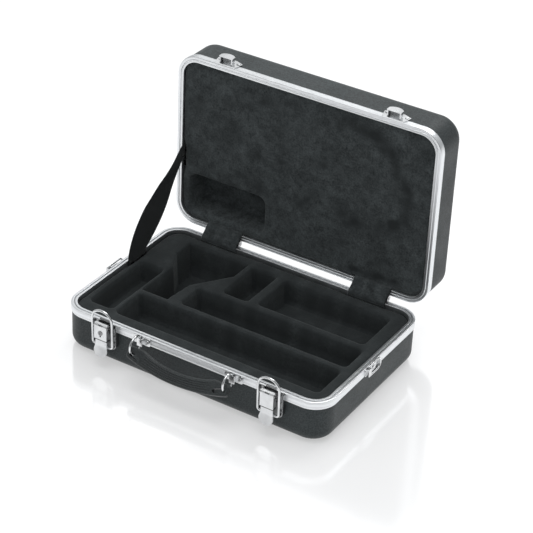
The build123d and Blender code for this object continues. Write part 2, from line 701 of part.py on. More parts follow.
# --- latches ---
def build_latch_plate(side):
    """Base plate: raised border, cheeks for the lever's pin and a curled tongue for the catch."""
    x = side * LATCH_X
    face = front_face(x)
    section = front_section(x)
    height = BASE_HEIGHT - LATCH_PLATE_BOTTOM
    middle = (BASE_HEIGHT + LATCH_PLATE_BOTTOM) / 2
    with BuildPart() as plate:
        with BuildSketch(face):
            with Locations((0, middle)):
                RectangleRounded(LATCH_PLATE_WIDTH, height, LATCH_PLATE_CORNER)
            with Locations((0, BASE_HEIGHT - LATCH_PLATE_CORNER / 2)):
                Rectangle(LATCH_PLATE_WIDTH, LATCH_PLATE_CORNER)
        extrude(amount=LATCH_BORDER + LATCH_SHEET)
        well = LATCH_PLATE_WIDTH - 2 * LATCH_SHEET
        with BuildSketch(face.offset(LATCH_SHEET)):
            with Locations((0, middle + LATCH_SHEET)):
                RectangleRounded(well, height, LATCH_PLATE_CORNER - LATCH_SHEET)
            with Locations((0, BASE_HEIGHT - LATCH_PLATE_CORNER / 2)):
                Rectangle(well, LATCH_PLATE_CORNER)
            with Locations((0, LATCH_PLATE_BOTTOM)):
                Rectangle(LATCH_BORDER_OPENING, 4 * LATCH_SHEET)
        extrude(amount=LATCH_BORDER, mode=Mode.SUBTRACT)
        packing_top = BASE_HEIGHT - BASE_BAND - BODY_GAP
        packing_middle = (packing_top + LATCH_PLATE_BOTTOM) / 2
        with BuildSketch(face):
            with Locations((0, packing_middle)):
                RectangleRounded(LATCH_PLATE_WIDTH, packing_top - LATCH_PLATE_BOTTOM, LATCH_PLATE_CORNER)
        extrude(amount=-VALANCE_WALL)
        for hand in (-1, 1):
            with BuildSketch(section.offset(hand * (CHEEK_INNER + LATCH_SHEET / 2))):
                with Locations((LEVER_PIVOT_OUT, LEVER_PIVOT_HEIGHT)):
                    Circle(CHEEK_RADIUS)
                with Locations((LEVER_PIVOT_OUT / 2, LEVER_PIVOT_HEIGHT - CHEEK_RADIUS)):
                    Rectangle(LEVER_PIVOT_OUT, 2 * CHEEK_RADIUS)
            extrude(amount=LATCH_SHEET / 2, both=True)
        top = BASE_HEIGHT + TONGUE_PLATE_RISE
        bottom = top - TONGUE_PLATE_RISE - TONGUE_PLATE_DROP
        reach = TONGUE_PLATE_OUT + LATCH_SHEET
        with BuildSketch(section):
            with Locations((reach - LATCH_SHEET / 2, (top + bottom) / 2)):
                Rectangle(LATCH_SHEET, top - bottom)
            with Locations((reach / 2, bottom + LATCH_SHEET)):
                Rectangle(reach, 2 * LATCH_SHEET)
            with Locations((TONGUE_PLATE_OUT + CURL_RADIUS, top - CURL_RADIUS / 2)):
                Circle(CURL_RADIUS)
        extrude(amount=TONGUE_PLATE_HALF, both=True)
        with BuildSketch(front_section(x)):
            with Locations((LEVER_PIVOT_OUT, LEVER_PIVOT_HEIGHT)):
                Circle(LEVER_PIN_RADIUS + RIVET_CLEARANCE)
        extrude(amount=LEVER_WIDTH, both=True, mode=Mode.SUBTRACT)
        add(drill(latch_rivet_planes(side, 0), 2 * LATCH_SHEET), mode=Mode.SUBTRACT)
    return plate


def lever_half_outline():
    """Right half of the lever seen from the front, as (x, height), from the top to the bulge."""
    half = LEVER_WIDTH / 2
    waist = LEVER_TAB_WAIST / 2
    top = LEVER_PIVOT_HEIGHT + LEVER_BARREL
    return (
        (0, top),
        (half, top),
        (half, LEVER_FACE_FOOT),
        (waist, LEVER_FACE_FOOT - LATCH_SHEET),
        (waist, LEVER_FLARE_HEIGHT + LATCH_SHEET),
        (LEVER_TAB_BULGE / 2, LEVER_TIP_HEIGHT + LEVER_TAB_WAIST / 2),
    )


def build_latch_lever(side, locking):
    """Lever: a barrel on its pin, a flat face with side flanges, and a thumb tab that turns out."""
    x = side * LATCH_X
    section = front_section(x)
    outer = LEVER_FACE_OUT + LATCH_SHEET
    tab = outer - LEVER_TAB_STEP
    flare = tab + LATCH_SHEET / 2
    jog = tab - LEVER_JOG_DEPTH
    jog_foot = LEVER_FACE_FOOT - LEVER_JOG_HEIGHT
    profile = (
        (LEVER_FACE_OUT, LEVER_PIVOT_HEIGHT),
        (outer, LEVER_PIVOT_HEIGHT),
        (outer, LEVER_FACE_FOOT),
        (jog, LEVER_FACE_FOOT),
        (jog, jog_foot),
        (tab, jog_foot),
        (flare, LEVER_FLARE_HEIGHT),
        (LEVER_TIP_OUT, LEVER_TIP_HEIGHT),
        (LEVER_TIP_OUT - LATCH_SHEET, LEVER_TIP_HEIGHT - LATCH_SHEET / 4),
        (flare - LATCH_SHEET, LEVER_FLARE_HEIGHT - LATCH_SHEET / 4),
        (jog - LATCH_SHEET, jog_foot - LATCH_SHEET),
        (jog - LATCH_SHEET, LEVER_FACE_FOOT),
        (LEVER_FACE_OUT, LEVER_FACE_FOOT + LATCH_SHEET),
    )
    half_outline = lever_half_outline()
    bulge = half_outline[-1]
    tip = (0, LEVER_TIP_HEIGHT)
    with BuildPart() as lever:
        with BuildSketch(section):
            with BuildLine():
                Polyline(*profile, close=True)
            make_face()
            with Locations((LEVER_PIVOT_OUT, LEVER_PIVOT_HEIGHT)):
                Circle(LEVER_BARREL)
        extrude(amount=LEVER_TAB_BULGE, both=True)
        with BuildSketch(front_face(x)):
            with BuildLine():
                Polyline(*half_outline)
                ThreePointArc(bulge, (bulge[0] * LEVER_TIP_FULLNESS, (bulge[1] + 3 * tip[1]) / 4), tip)
                Line(tip, half_outline[0])
            make_face()
            mirror(about=Plane.YZ)
        extrude(amount=2 * LEVER_TIP_OUT, mode=Mode.INTERSECT)
        flange_foot = BAIL_PIVOT_HEIGHT - LEVER_EYE_RADIUS
        flange = (
            (BAIL_PIVOT_OUT, flange_foot),
            (tab - LATCH_SHEET, flange_foot),
            (jog - LATCH_SHEET, jog_foot - LATCH_SHEET),
            (jog - LATCH_SHEET, LEVER_FACE_FOOT),
            (LEVER_FACE_OUT, LEVER_FACE_FOOT + LATCH_SHEET),
            (LEVER_FACE_OUT, LEVER_PIVOT_HEIGHT),
            (LEVER_PIVOT_OUT - LEVER_BARREL, LEVER_PIVOT_HEIGHT),
            (BAIL_PIVOT_OUT - LEVER_EYE_RADIUS, BAIL_PIVOT_HEIGHT),
        )
        flange_x = (LEVER_TAB_WAIST - LATCH_SHEET) / 2
        for hand in (-1, 1):
            with BuildSketch(section.offset(hand * flange_x)):
                with BuildLine():
                    Polyline(*flange, close=True)
                make_face()
                with Locations((BAIL_PIVOT_OUT, BAIL_PIVOT_HEIGHT)):
                    Circle(LEVER_EYE_RADIUS)
            extrude(amount=LATCH_SHEET / 2, both=True)
        with BuildSketch(section):
            with Locations((LEVER_PIVOT_OUT, LEVER_PIVOT_HEIGHT)):
                Circle(LEVER_PIN_RADIUS + PIN_CLEARANCE)
            with Locations((BAIL_PIVOT_OUT, BAIL_PIVOT_HEIGHT)):
                Circle(BAIL_WIRE_RADIUS + PIN_CLEARANCE)
        extrude(amount=LEVER_WIDTH, both=True, mode=Mode.SUBTRACT)
        slot_height = LEVER_PIVOT_HEIGHT + LEVER_BARREL / 2
        with BuildSketch(front_face(x, slot_height).offset(LEVER_PIVOT_OUT)):
            Rectangle(LEVER_SLOT_LENGTH, LEVER_SLOT_HEIGHT)
        extrude(amount=LEVER_BARREL, mode=Mode.SUBTRACT)
        if locking:
            with BuildSketch(front_face(x, PLUG_HEIGHT)):
                Circle(PLUG_RADIUS + PLUG_CLEARANCE)
                with Locations((0, -KEYHOLE_DROP / 2)):
                    Rectangle(KEYHOLE_WIDTH, KEYHOLE_DROP)
            extrude(amount=2 * LEVER_FACE_OUT, mode=Mode.SUBTRACT)
    return lever


def build_latch_bail(side):
    """Wire bail: two legs, a round top and feet turned in through the lever's flanges."""
    lean = radians(BAIL_LEAN)
    foot = (side * LATCH_X, FRONT_Y - BAIL_PIVOT_OUT, BAIL_PIVOT_HEIGHT)
    plane = Plane(origin=foot, x_dir=(1, 0, 0), z_dir=(0, -cos(lean), -sin(lean)))
    grip = LEVER_TAB_WAIST / 2 - LATCH_SHEET - BAIL_FOOT_GRIP
    points = (
        (-grip, 0),
        (-BAIL_HALF_WIDTH, 0),
        (-BAIL_HALF_WIDTH, BAIL_LENGTH),
        (BAIL_HALF_WIDTH, BAIL_LENGTH),
        (BAIL_HALF_WIDTH, 0),
        (grip, 0),
    )
    radii = [BAIL_FOOT_RADIUS, BAIL_TOP_RADIUS, BAIL_TOP_RADIUS, BAIL_FOOT_RADIUS]
    return wire_form(plane, points, radii, BAIL_WIRE_RADIUS)


def build_latch_pins():
    """Pins of the two levers, flush with the outsides of the cheeks."""
    with BuildPart() as pins:
        for side in (-1, 1):
            with BuildSketch(front_section(side * LATCH_X)):
                with Locations((LEVER_PIVOT_OUT, LEVER_PIVOT_HEIGHT)):
                    Circle(LEVER_PIN_RADIUS)
            extrude(amount=PIN_HALF, both=True)
    return pins


def build_lock_plug():
    """Key plug of the left latch, held by a flange behind the lever's face."""
    face = front_face(-LATCH_X, PLUG_HEIGHT)
    flange_out = LEVER_FACE_OUT - PLUG_CLEARANCE
    with BuildPart() as plug:
        with BuildSketch(face.offset(flange_out)):
            Circle(PLUG_RADIUS)
        extrude(amount=LATCH_SHEET + PLUG_CLEARANCE + PLUG_PROUD)
        with BuildSketch(face.offset(flange_out)):
            Circle(PLUG_RADIUS + PLUG_FLANGE)
        extrude(amount=-PLUG_FLANGE)
        with BuildSketch(face.offset(flange_out + PLUG_PROUD)):
            Rectangle(KEYWAY_WIDTH, KEYWAY_LENGTH)
        extrude(amount=2 * LATCH_SHEET, mode=Mode.SUBTRACT)
    return plug


# --- catches ---
def hood_outline(half_width, start):
    """Outline of the catch's hood: straight sides and a shallow arc away from the rim."""
    end = HOOD_END - HOOD_HALF_WIDTH + half_width
    sagitta = HOOD_ARC - sqrt(HOOD_ARC**2 - half_width**2)
    with BuildSketch() as outline:
        with BuildLine():
            Polyline((-half_width, end - sagitta), (-half_width, start), (half_width, start))
            Line((half_width, start), (half_width, end - sagitta))
            ThreePointArc((half_width, end - sagitta), (0, end), (-half_width, end - sagitta))
        make_face()
    return outline.sketch


def build_catch(side):
    """Catch: a riveted plate with a hood whose rounded lip takes the bail."""
    face = lid_front_face(side * LATCH_X)
    plate_outline = (
        (-CATCH_RIM_HALF, CATCH_START),
        (CATCH_RIM_HALF, CATCH_START),
        (CATCH_HALF_WIDTH, CATCH_EAR_DEPTH),
        (CATCH_BACK_HALF, CATCH_DEPTH),
        (-CATCH_BACK_HALF, CATCH_DEPTH),
        (-CATCH_HALF_WIDTH, CATCH_EAR_DEPTH),
    )
    with BuildPart() as catch:
        with BuildSketch(face) as ears:
            with BuildLine():
                Polyline(*plate_outline, close=True)
            make_face()
            fillet(ears.vertices(), LATCH_SHEET)
        extrude(amount=LATCH_SHEET)
        with BuildSketch(face):
            add(hood_outline(HOOD_HALF_WIDTH - HOOD_NECK, HOOD_START))
        extrude(amount=CATCH_HEIGHT)
        with BuildSketch(face.offset(CATCH_HEIGHT - HOOD_LIP)):
            add(hood_outline(HOOD_HALF_WIDTH, HOOD_START))
        extrude(amount=HOOD_LIP)
        with BuildSketch(face.offset(LATCH_SHEET)):
            add(hood_outline(HOOD_HALF_WIDTH - HOOD_NECK - HOOD_WALL, HOOD_START - HOOD_WALL))
        extrude(amount=CATCH_HEIGHT - HOOD_WALL - LATCH_SHEET, mode=Mode.SUBTRACT)
        add(drill(catch_rivet_planes(side, 0), 2 * LATCH_SHEET), mode=Mode.SUBTRACT)
    return catch


# --- brackets, rings and grip ---
def build_bracket(side):
    """Pressed strap over a handle ring, with a hump in its middle and a rivet on each side."""
    face = front_face(side * HANDLE_X, BRACKET_CENTRE)
    tunnel = HANDLE_TUNNEL
    across = Plane(origin=face.origin, x_dir=face.x_dir, z_dir=-face.y_dir)
    inner = HUMP_HALF_WIDTH - BRACKET_SHEET
    profile = (
        (-BRACKET_HALF_WIDTH, 0),
        (-BRACKET_HALF_WIDTH, BRACKET_SHEET),
        (-HUMP_HALF_WIDTH, BRACKET_SHEET),
        (-HUMP_HALF_WIDTH, tunnel + BRACKET_SHEET),
        (HUMP_HALF_WIDTH, tunnel + BRACKET_SHEET),
        (HUMP_HALF_WIDTH, BRACKET_SHEET),
        (BRACKET_HALF_WIDTH, BRACKET_SHEET),
        (BRACKET_HALF_WIDTH, 0),
        (inner, 0),
        (inner, tunnel),
        (-inner, tunnel),
        (-inner, 0),
    )
    with BuildPart() as bracket:
        with BuildSketch(across):
            with BuildLine():
                Polyline(*profile, close=True)
            make_face()
        extrude(amount=BRACKET_HEIGHT / 2, both=True)
        with BuildSketch(face):
            RectangleRounded(2 * BRACKET_HALF_WIDTH, BRACKET_HEIGHT, BRACKET_CORNER)
        extrude(amount=tunnel + 2 * BRACKET_SHEET, mode=Mode.INTERSECT)
        lengthwise = bracket.edges().filter_by(Axis(face.origin, face.y_dir))
        fillet(lengthwise.sort_by(Axis(face.origin, face.z_dir))[-2:], BRACKET_SHEET)
        with BuildSketch(face):
            with Locations((-BRACKET_RIVET_X, 0), (BRACKET_RIVET_X, 0)):
                Circle(RIVET_RADIUS + RIVET_CLEARANCE)
        extrude(amount=2 * BRACKET_SHEET, mode=Mode.SUBTRACT)
    return bracket


def build_handle_ring(side):
    """Wire ring that runs through a bracket and an end of the grip."""
    centre = (side * HANDLE_X, RING_Y, BRACKET_CENTRE)
    with BuildPart(Plane(origin=centre, z_dir=(1, 0, 0))) as ring:
        Torus(RING_RADIUS, RING_WIRE_RADIUS)
    return ring


def build_handle_grip():
    """Moulded grip: a crescent that widens toward its ends, with a slanted slot for each ring."""
    tilt = radians(HANDLE_TILT)
    hole_y = RING_Y - RING_RADIUS * sin(tilt)
    hole_z = BRACKET_CENTRE - RING_RADIUS * cos(tilt)
    plane = Plane(origin=(0, hole_y, hole_z), x_dir=(1, 0, 0), z_dir=(0, -cos(tilt), sin(tilt)))
    end = HANDLE_HALF_LENGTH
    shoulder = HANDLE_SHOULDER_X
    with BuildPart() as grip:
        with BuildSketch(plane) as outline:
            with BuildLine():
                top = ThreePointArc(
                    (-shoulder, HANDLE_TOP_SHOULDER), (0, HANDLE_TOP_MIDDLE), (shoulder, HANDLE_TOP_SHOULDER)
                )
                Line(top @ 1, (end, HANDLE_TOP_END))
                Line((end, HANDLE_TOP_END), (end, HANDLE_BOTTOM_END))
                ThreePointArc((end, HANDLE_BOTTOM_END), (0, HANDLE_BOTTOM_MIDDLE), (-end, HANDLE_BOTTOM_END))
                Line((-end, HANDLE_BOTTOM_END), (-end, HANDLE_TOP_END))
                Line((-end, HANDLE_TOP_END), top @ 0)
            make_face()
            fillet(outline.vertices(), HANDLE_CORNER)
        extrude(amount=HANDLE_THICKNESS / 2, both=True)
        across = Axis(plane.origin, plane.z_dir)
        faces = grip.faces().sort_by(across)
        fillet(faces[0].edges() + faces[-1].edges(), HANDLE_EDGE)
        with BuildSketch(plane):
            with Locations((-SLOT_X, -SLOT_DROP)):
                SlotOverall(SLOT_LENGTH, SLOT_HEIGHT, rotation=-SLOT_TILT)
            with Locations((SLOT_X, -SLOT_DROP)):
                SlotOverall(SLOT_LENGTH, SLOT_HEIGHT, rotation=SLOT_TILT)
        extrude(amount=HANDLE_THICKNESS, both=True, mode=Mode.SUBTRACT)
    return grip


def build_side_clip(side):
    """Pressed clip over the foot of a side ring: a hump near its front end and a riveted tail."""
    face = side_face(side, SIDE_RING_Y, BRACKET_CENTRE)
    back = 1 if face.x_dir.Y > 0 else -1
    middle = (CLIP_BACK - CLIP_FRONT) / 2
    across = Plane(origin=face.origin, x_dir=face.x_dir, z_dir=-face.y_dir)
    inner = CLIP_HUMP - BRACKET_SHEET
    profile = (
        (-CLIP_FRONT, 0),
        (-CLIP_FRONT, BRACKET_SHEET),
        (-CLIP_HUMP, BRACKET_SHEET),
        (-CLIP_HUMP, SIDE_TUNNEL + BRACKET_SHEET),
        (CLIP_HUMP, SIDE_TUNNEL + BRACKET_SHEET),
        (CLIP_HUMP, BRACKET_SHEET),
        (CLIP_BACK, BRACKET_SHEET),
        (CLIP_BACK, 0),
        (inner, 0),
        (inner, SIDE_TUNNEL),
        (-inner, SIDE_TUNNEL),
        (-inner, 0),
    )
    with BuildPart() as clip:
        with BuildSketch(across):
            with BuildLine():
                Polyline(*[(back * along, out) for along, out in profile], close=True)
            make_face()
        extrude(amount=BRACKET_HEIGHT / 2, both=True)
        with BuildSketch(face):
            with Locations((back * middle, 0)):
                RectangleRounded(CLIP_FRONT + CLIP_BACK, BRACKET_HEIGHT, BRACKET_CORNER)
        extrude(amount=SIDE_TUNNEL + 2 * BRACKET_SHEET, mode=Mode.INTERSECT)
        upright = clip.edges().filter_by(Axis(face.origin, face.y_dir))
        fillet(upright.sort_by(Axis(face.origin, face.z_dir))[-2:], BRACKET_SHEET)
        add(drill(side_rivet_planes(side, 0), 2 * BRACKET_SHEET), mode=Mode.SUBTRACT)
    return clip


def build_side_ring(side):
    """D-shaped wire ring, folded back flat along the side of the case."""
    x = side * (CASE_LENGTH / 2 + SIDE_RING_OUT)
    plane = Plane(origin=(x, SIDE_RING_Y, BRACKET_CENTRE), x_dir=(0, 1, 0), z_dir=(1, 0, 0))
    tall = SIDE_RING_HALF_HEIGHT
    points = ((0, -tall), (0, tall), (SIDE_RING_DEPTH, tall), (SIDE_RING_DEPTH, -tall))
    radii = [SIDE_RING_FOOT, SIDE_RING_FOOT, SIDE_RING_NOSE, SIDE_RING_NOSE]
    return wire_form(plane, points, radii, SIDE_WIRE_RADIUS, closed=True)


# --- write every node ---
SIDES = {"left": -1, "right": 1}
THROUGH_WALL = VALANCE_WALL + SHELL_WALL

write_node(build_shell(BASE_RIM, BASE_HEIGHT, BASE_WALL_RIVETS), "base_shell")
write_node(build_base_valance(), "base_valance")
write_node(build_tray_foam(), "tray_foam")
write_node(build_tray_lining(), "tray_lining")
write_node(build_shell(LID_RIM, LID_HEIGHT, LID_WALL_RIVETS), "lid_shell")
write_node(build_lid_valance(), "lid_valance")
write_node(build_lid_foam(), "lid_foam")
write_node(build_lid_lining(), "lid_lining")
write_node(build_stay_strap(), "stay_strap")
write_node(build_hinge_pins(), "hinge_pins")
write_node(build_latch_pins(), "latch_pins")
write_node(build_lock_plug(), "lock_plug")
write_node(build_handle_grip(), "handle_grip")

for name, side in SIDES.items():
    write_node(build_hinge_cover(side), f"hinge_cover_{name}")
    write_node(build_hinge_leaf(side, False), f"hinge_base_leaf_{name}")
    write_node(build_hinge_leaf(side, True), f"hinge_lid_leaf_{name}")
    write_node(build_latch_plate(side), f"latch_plate_{name}")
    write_node(build_latch_lever(side, side < 0), f"latch_lever_{name}")
    write_node(build_latch_bail(side), f"latch_bail_{name}")
    write_node(build_catch(side), f"catch_{name}")
    write_node(build_bracket(side), f"handle_bracket_{name}")
    write_node(build_handle_ring(side), f"handle_ring_{name}")
    write_node(build_side_clip(side), f"side_bracket_{name}")
    write_node(build_side_ring(side), f"side_ring_{name}")

hinge_base = hinge_rivet_planes(-1, LEAF_THICKNESS, False) + hinge_rivet_planes(1, LEAF_THICKNESS, False)
hinge_lid = hinge_rivet_planes(-1, LEAF_THICKNESS, True) + hinge_rivet_planes(1, LEAF_THICKNESS, True)
latch = latch_rivet_planes(-1, LATCH_SHEET) + latch_rivet_planes(1, LATCH_SHEET)
catch = catch_rivet_planes(-1, LATCH_SHEET) + catch_rivet_planes(1, LATCH_SHEET)
handle = handle_rivet_planes(-1, BRACKET_SHEET) + handle_rivet_planes(1, BRACKET_SHEET)
strap_side = side_rivet_planes(-1, BRACKET_SHEET) + side_rivet_planes(1, BRACKET_SHEET)
strap_out = STRAP_CLEARANCE + STRAP_THICKNESS
strap_grip = strap_out + VALANCE_WALL
write_node(rivet_group(hinge_base, LEAF_THICKNESS + THROUGH_WALL), "hinge_rivets_base")
write_node(rivet_group(hinge_lid, LEAF_THICKNESS + THROUGH_WALL), "hinge_rivets_lid")
write_node(rivet_group(latch, LATCH_SHEET + THROUGH_WALL), "latch_rivets")
write_node(rivet_group(catch, LATCH_SHEET + THROUGH_WALL), "catch_rivets")
write_node(rivet_group(handle, BRACKET_SHEET + THROUGH_WALL), "handle_bracket_rivets")
write_node(rivet_group(strap_side, BRACKET_SHEET + THROUGH_WALL), "side_bracket_rivets")
write_node(rivet_group(strap_rivet_planes(strap_out, False), strap_grip), "strap_rivets_base")
write_node(rivet_group(strap_rivet_planes(strap_out, True), strap_grip), "strap_rivets_lid")
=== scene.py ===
from math import radians

import bmesh
import bpy
import numpy as np
from bpy.props import FloatProperty, FloatVectorProperty, PointerProperty
from mathutils import Matrix, Vector


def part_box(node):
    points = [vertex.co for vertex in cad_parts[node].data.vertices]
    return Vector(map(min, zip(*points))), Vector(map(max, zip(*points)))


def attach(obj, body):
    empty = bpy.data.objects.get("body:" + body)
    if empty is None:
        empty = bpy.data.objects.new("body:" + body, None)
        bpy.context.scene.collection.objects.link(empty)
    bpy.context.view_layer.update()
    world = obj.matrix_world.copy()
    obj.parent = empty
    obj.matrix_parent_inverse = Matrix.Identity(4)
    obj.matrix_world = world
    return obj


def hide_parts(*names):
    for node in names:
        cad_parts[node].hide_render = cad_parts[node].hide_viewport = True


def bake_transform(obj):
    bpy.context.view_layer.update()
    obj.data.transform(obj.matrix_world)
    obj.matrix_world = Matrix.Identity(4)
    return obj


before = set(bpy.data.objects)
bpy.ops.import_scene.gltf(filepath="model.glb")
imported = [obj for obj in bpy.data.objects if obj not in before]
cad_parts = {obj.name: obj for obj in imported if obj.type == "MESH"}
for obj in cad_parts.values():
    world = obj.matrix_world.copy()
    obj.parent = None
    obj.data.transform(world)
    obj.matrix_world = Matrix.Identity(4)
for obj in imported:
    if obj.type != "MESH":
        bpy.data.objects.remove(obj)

bl_info = {
    "name": "Clarinet Case",
    "version": (1, 0, 0),
    "blender": (4, 5, 0),
    "location": "View3D > Sidebar > Clarinet Case",
    "description": "Dresses a jointed clarinet case in grained shells, satin frames, plush and plating",
    "category": "Object",
}

MM = 0.001


def node_size(name):
    """Length, depth and height of a CAD node, in millimetres."""
    low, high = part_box(name)
    return [(high[i] - low[i]) / MM for i in range(3)]


CASE = node_size("base_valance")
BASE_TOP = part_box("base_valance")[1][2] / MM
LID_LOW, LID_HIGH = (np.array(c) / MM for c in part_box("lid_valance"))
# The open lid's rim lies behind its solid's foremost face by the height of the solid's tongue, and the
# lever's groove lies below the base's rim, both in millimetres. The webbing's length is in metres.
TONGUE_HEIGHT = 1.0
LID_RIM = LID_LOW[1] + TONGUE_HEIGHT
LEVER_GROOVE_DROP = 19.8
STRAP_LENGTH = 0.165


def length(label, text, value):
    """A size up to one metre that a user may change; its default is given in millimetres."""
    return FloatProperty(
        name=label, description=text, default=value * MM, min=0, max=1, unit="LENGTH", precision=5)


def level(label, text, value, highest):
    """A strength or power that a user may change, from nothing to the highest."""
    return FloatProperty(name=label, description=text, default=value, min=0, max=highest)


def colour(label, text, value):
    """A colour that a user may change."""
    return FloatVectorProperty(
        name=label, description=text, subtype="COLOR", size=3, min=0, max=1, default=value)


# ---------------------------------------------------------------- settings
class CASE_PG_frames(bpy.types.PropertyGroup):
    """Sizes and colour of the two rim frames."""

    corner: length("Corner Radius", "Outer corner radius of the case", 28.5)
    rim: length("Rim Width", "Width of the flat of each frame", 7.7)
    base_band: length("Base Band", "Height of the base frame's outer band", 9.5)
    lid_band: length("Lid Band", "Height of the lid frame's outer band", 8.6)
    rounding: length("Edge Rounding", "Rounding of the frame's outer edge", 1.0)
    groove_inset: length("Groove Inset", "Distance of the groove from the outside", 3.4)
    groove: length("Groove Width", "Width of the sealing groove", 1.3)
    bead: length("Bead Height", "Height of the bead lines along the bands", 0.22)
    aluminium: colour("Aluminium", "Colour of the satin frames", (0.81, 0.825, 0.84))


class CASE_PG_plush(bpy.types.PropertyGroup):
    """Sizes and colours of the plush inserts."""

    inset: length("Inset", "Distance of the plush inserts from the outside of the case", 8.2)
    tray_depth: length("Tray Depth", "Depth of the tray's plush below the rim", 4.0)
    lid_depth: length("Lid Depth", "Depth of the lid's plush below its rim", 3.0)
    wall: length("Pocket Wall", "Width over which a pocket's wall goes down", 3.0)
    nap: length("Nap Height", "Unevenness of the plush's surface", 0.35)
    pile: colour("Pile", "Colour of the plush where the pile lies flat", (0.021, 0.024, 0.025))
    brushed: colour("Brushed Pile", "Colour of the plush where it is brushed up", (0.090, 0.102, 0.105))


class CASE_PG_webbing(bpy.types.PropertyGroup):
    """Sizes and colour of the stay strap."""

    width: length("Width", "Width of the stay strap's webbing", 38.0)
    thickness: length("Thickness", "Thickness of the webbing", 1.2)
    bow: length("Bow", "How far the slack strap bows outward", 0.6)
    weave: length("Weave", "Spacing of the weave's ribs", 1.4)
    black: colour("Webbing", "Colour of the webbing", (0.020, 0.023, 0.024))


class CASE_PG_shell(bpy.types.PropertyGroup):
    """Grain and colours of the moulded pieces."""

    grain: length("Grain", "Size of the moulded grain's pebbles", 0.9)
    black: colour("Shell", "Colour of the moulded shells", (0.033, 0.041, 0.043))
    grip: colour("Grip", "Colour of the moulded grip", (0.034, 0.039, 0.040))
    rib: length("Grip Rib", "Width of a rib along the grip", 1.5)


class CASE_PG_plating(bpy.types.PropertyGroup):
    """Colours of the metal fittings."""

    chrome: colour("Chrome", "Colour of the plated wire and pressings", (0.80, 0.81, 0.82))
    satin: colour("Satin Nickel", "Colour of the latch levers", (0.80, 0.81, 0.82))
    steel: colour("Steel", "Colour of the hinges and pins", (0.58, 0.58, 0.59))


class CASE_PG_stage(bpy.types.PropertyGroup):
    """Floor and light."""

    floor: colour("Floor", "Colour of the floor", (0.58, 0.58, 0.585))
    mirrored: level("Mirrored Sky", "Brightness that reflections see high behind", 0.6, 5)
    sky: level("Sky", "Strength of the surrounding light", 0.62, 3)
    key: level("Key Lamp", "Power of the soft lamp overhead", 17, 500)
    back: level("Back Lamp", "Power of the soft lamp behind", 3, 500)
    rim: level("Rim Lamp", "Power of the lamp high behind", 20, 500)


class CASE_PG_settings(bpy.types.PropertyGroup):
    """All settings of the case."""

    frames: PointerProperty(type=CASE_PG_frames)
    plush: PointerProperty(type=CASE_PG_plush)
    webbing: PointerProperty(type=CASE_PG_webbing)
    shell: PointerProperty(type=CASE_PG_shell)
    plating: PointerProperty(type=CASE_PG_plating)
    stage: PointerProperty(type=CASE_PG_stage)


# ---------------------------------------------------------------- surfaces
def surface(name, points, ring_u=False, ring_v=False, attributes=None):
    """Mesh of a grid of points, in millimetres, with a UV that runs from 0 to 1 both ways.

    Point (i, j) of the grid is joined to (i + 1, j) and (i, j + 1); a ring closes on itself.
    Further values, one for each point, are kept as named attributes.
    """
    count_u, count_v = points.shape[:2]
    i = np.arange(count_u if ring_u else count_u - 1)[:, None]
    j = np.arange(count_v if ring_v else count_v - 1)[None, :]
    next_i, next_j = (i + 1) % count_u, (j + 1) % count_v
    corners = [i * count_v + j, next_i * count_v + j, next_i * count_v + next_j, i * count_v + next_j]
    faces = np.stack(np.broadcast_arrays(*corners), axis=-1).reshape(-1, 4)
    mesh = bpy.data.meshes.new(name)
    mesh.vertices.add(count_u * count_v)
    mesh.vertices.foreach_set("co", (points.reshape(-1) * MM).astype(np.float32))
    mesh.loops.add(faces.size)
    mesh.loops.foreach_set("vertex_index", faces.reshape(-1).astype(np.int32))
    mesh.polygons.add(len(faces))
    mesh.polygons.foreach_set("loop_start", np.arange(0, faces.size, 4, dtype=np.int32))
    mesh.update(calc_edges=True)
    u = np.stack(np.broadcast_arrays(i + 0 * j, i + 1 + 0 * j, i + 1 + 0 * j, i + 0 * j), axis=-1)
    v = np.stack(np.broadcast_arrays(j + 0 * i, j + 0 * i, j + 1 + 0 * i, j + 1 + 0 * i), axis=-1)
    layer = mesh.uv_layers.new(name="UVMap")
    flat = np.stack([u / max(count_u - 1, 1), v / max(count_v - 1, 1)], axis=-1).reshape(-1)
    layer.data.foreach_set("uv", flat.astype(np.float32))
    for key, values in (attributes or {}).items():
        attribute = mesh.attributes.new(key, "FLOAT", "POINT")
        attribute.data.foreach_set("value", values.reshape(-1).astype(np.float32))
    mesh.polygons.foreach_set("use_smooth", np.ones(len(faces), dtype=bool))
    mesh.validate()
    obj = bpy.data.objects.new(name, mesh)
    bpy.context.scene.collection.objects.link(obj)
    return obj


def rounded_profile(corners, radii, steps=6):
    """Closed outline with rounded corners.

    Each corner becomes the quadratic curve from the point one radius before it to the point one
    radius after it, with the corner itself as the control point.
    """
    corners = np.array(corners, float)
    radii = np.array(radii, float)[:, None]
    before, after = np.roll(corners, 1, axis=0) - corners, np.roll(corners, -1, axis=0) - corners
    start = corners + before / np.linalg.norm(before, axis=1, keepdims=True) * radii
    end = corners + after / np.linalg.norm(after, axis=1, keepdims=True) * radii
    t = np.linspace(0, 1, steps)[None, :, None]
    curve = (1 - t) ** 2 * start[:, None] + 2 * t * (1 - t) * corners[:, None] + t**2 * end[:, None]
    return curve.reshape(-1, 2)


def evenly(points, spacing, ring=False):
    """The same line with its points about one spacing apart."""
    if ring:
        points = np.vstack([points, points[:1]])
    run = np.concatenate([[0], np.cumsum(np.linalg.norm(np.diff(points, axis=0), axis=1))])
    keep = np.concatenate([[True], np.diff(run) > 1e-6])
    count = max(int(np.ceil(run[-1] / spacing)), 3)
    places = np.linspace(0, run[-1], count, endpoint=not ring)
    columns = [np.interp(places, run[keep], column[keep]) for column in points.T]
    return np.stack(columns, axis=1)


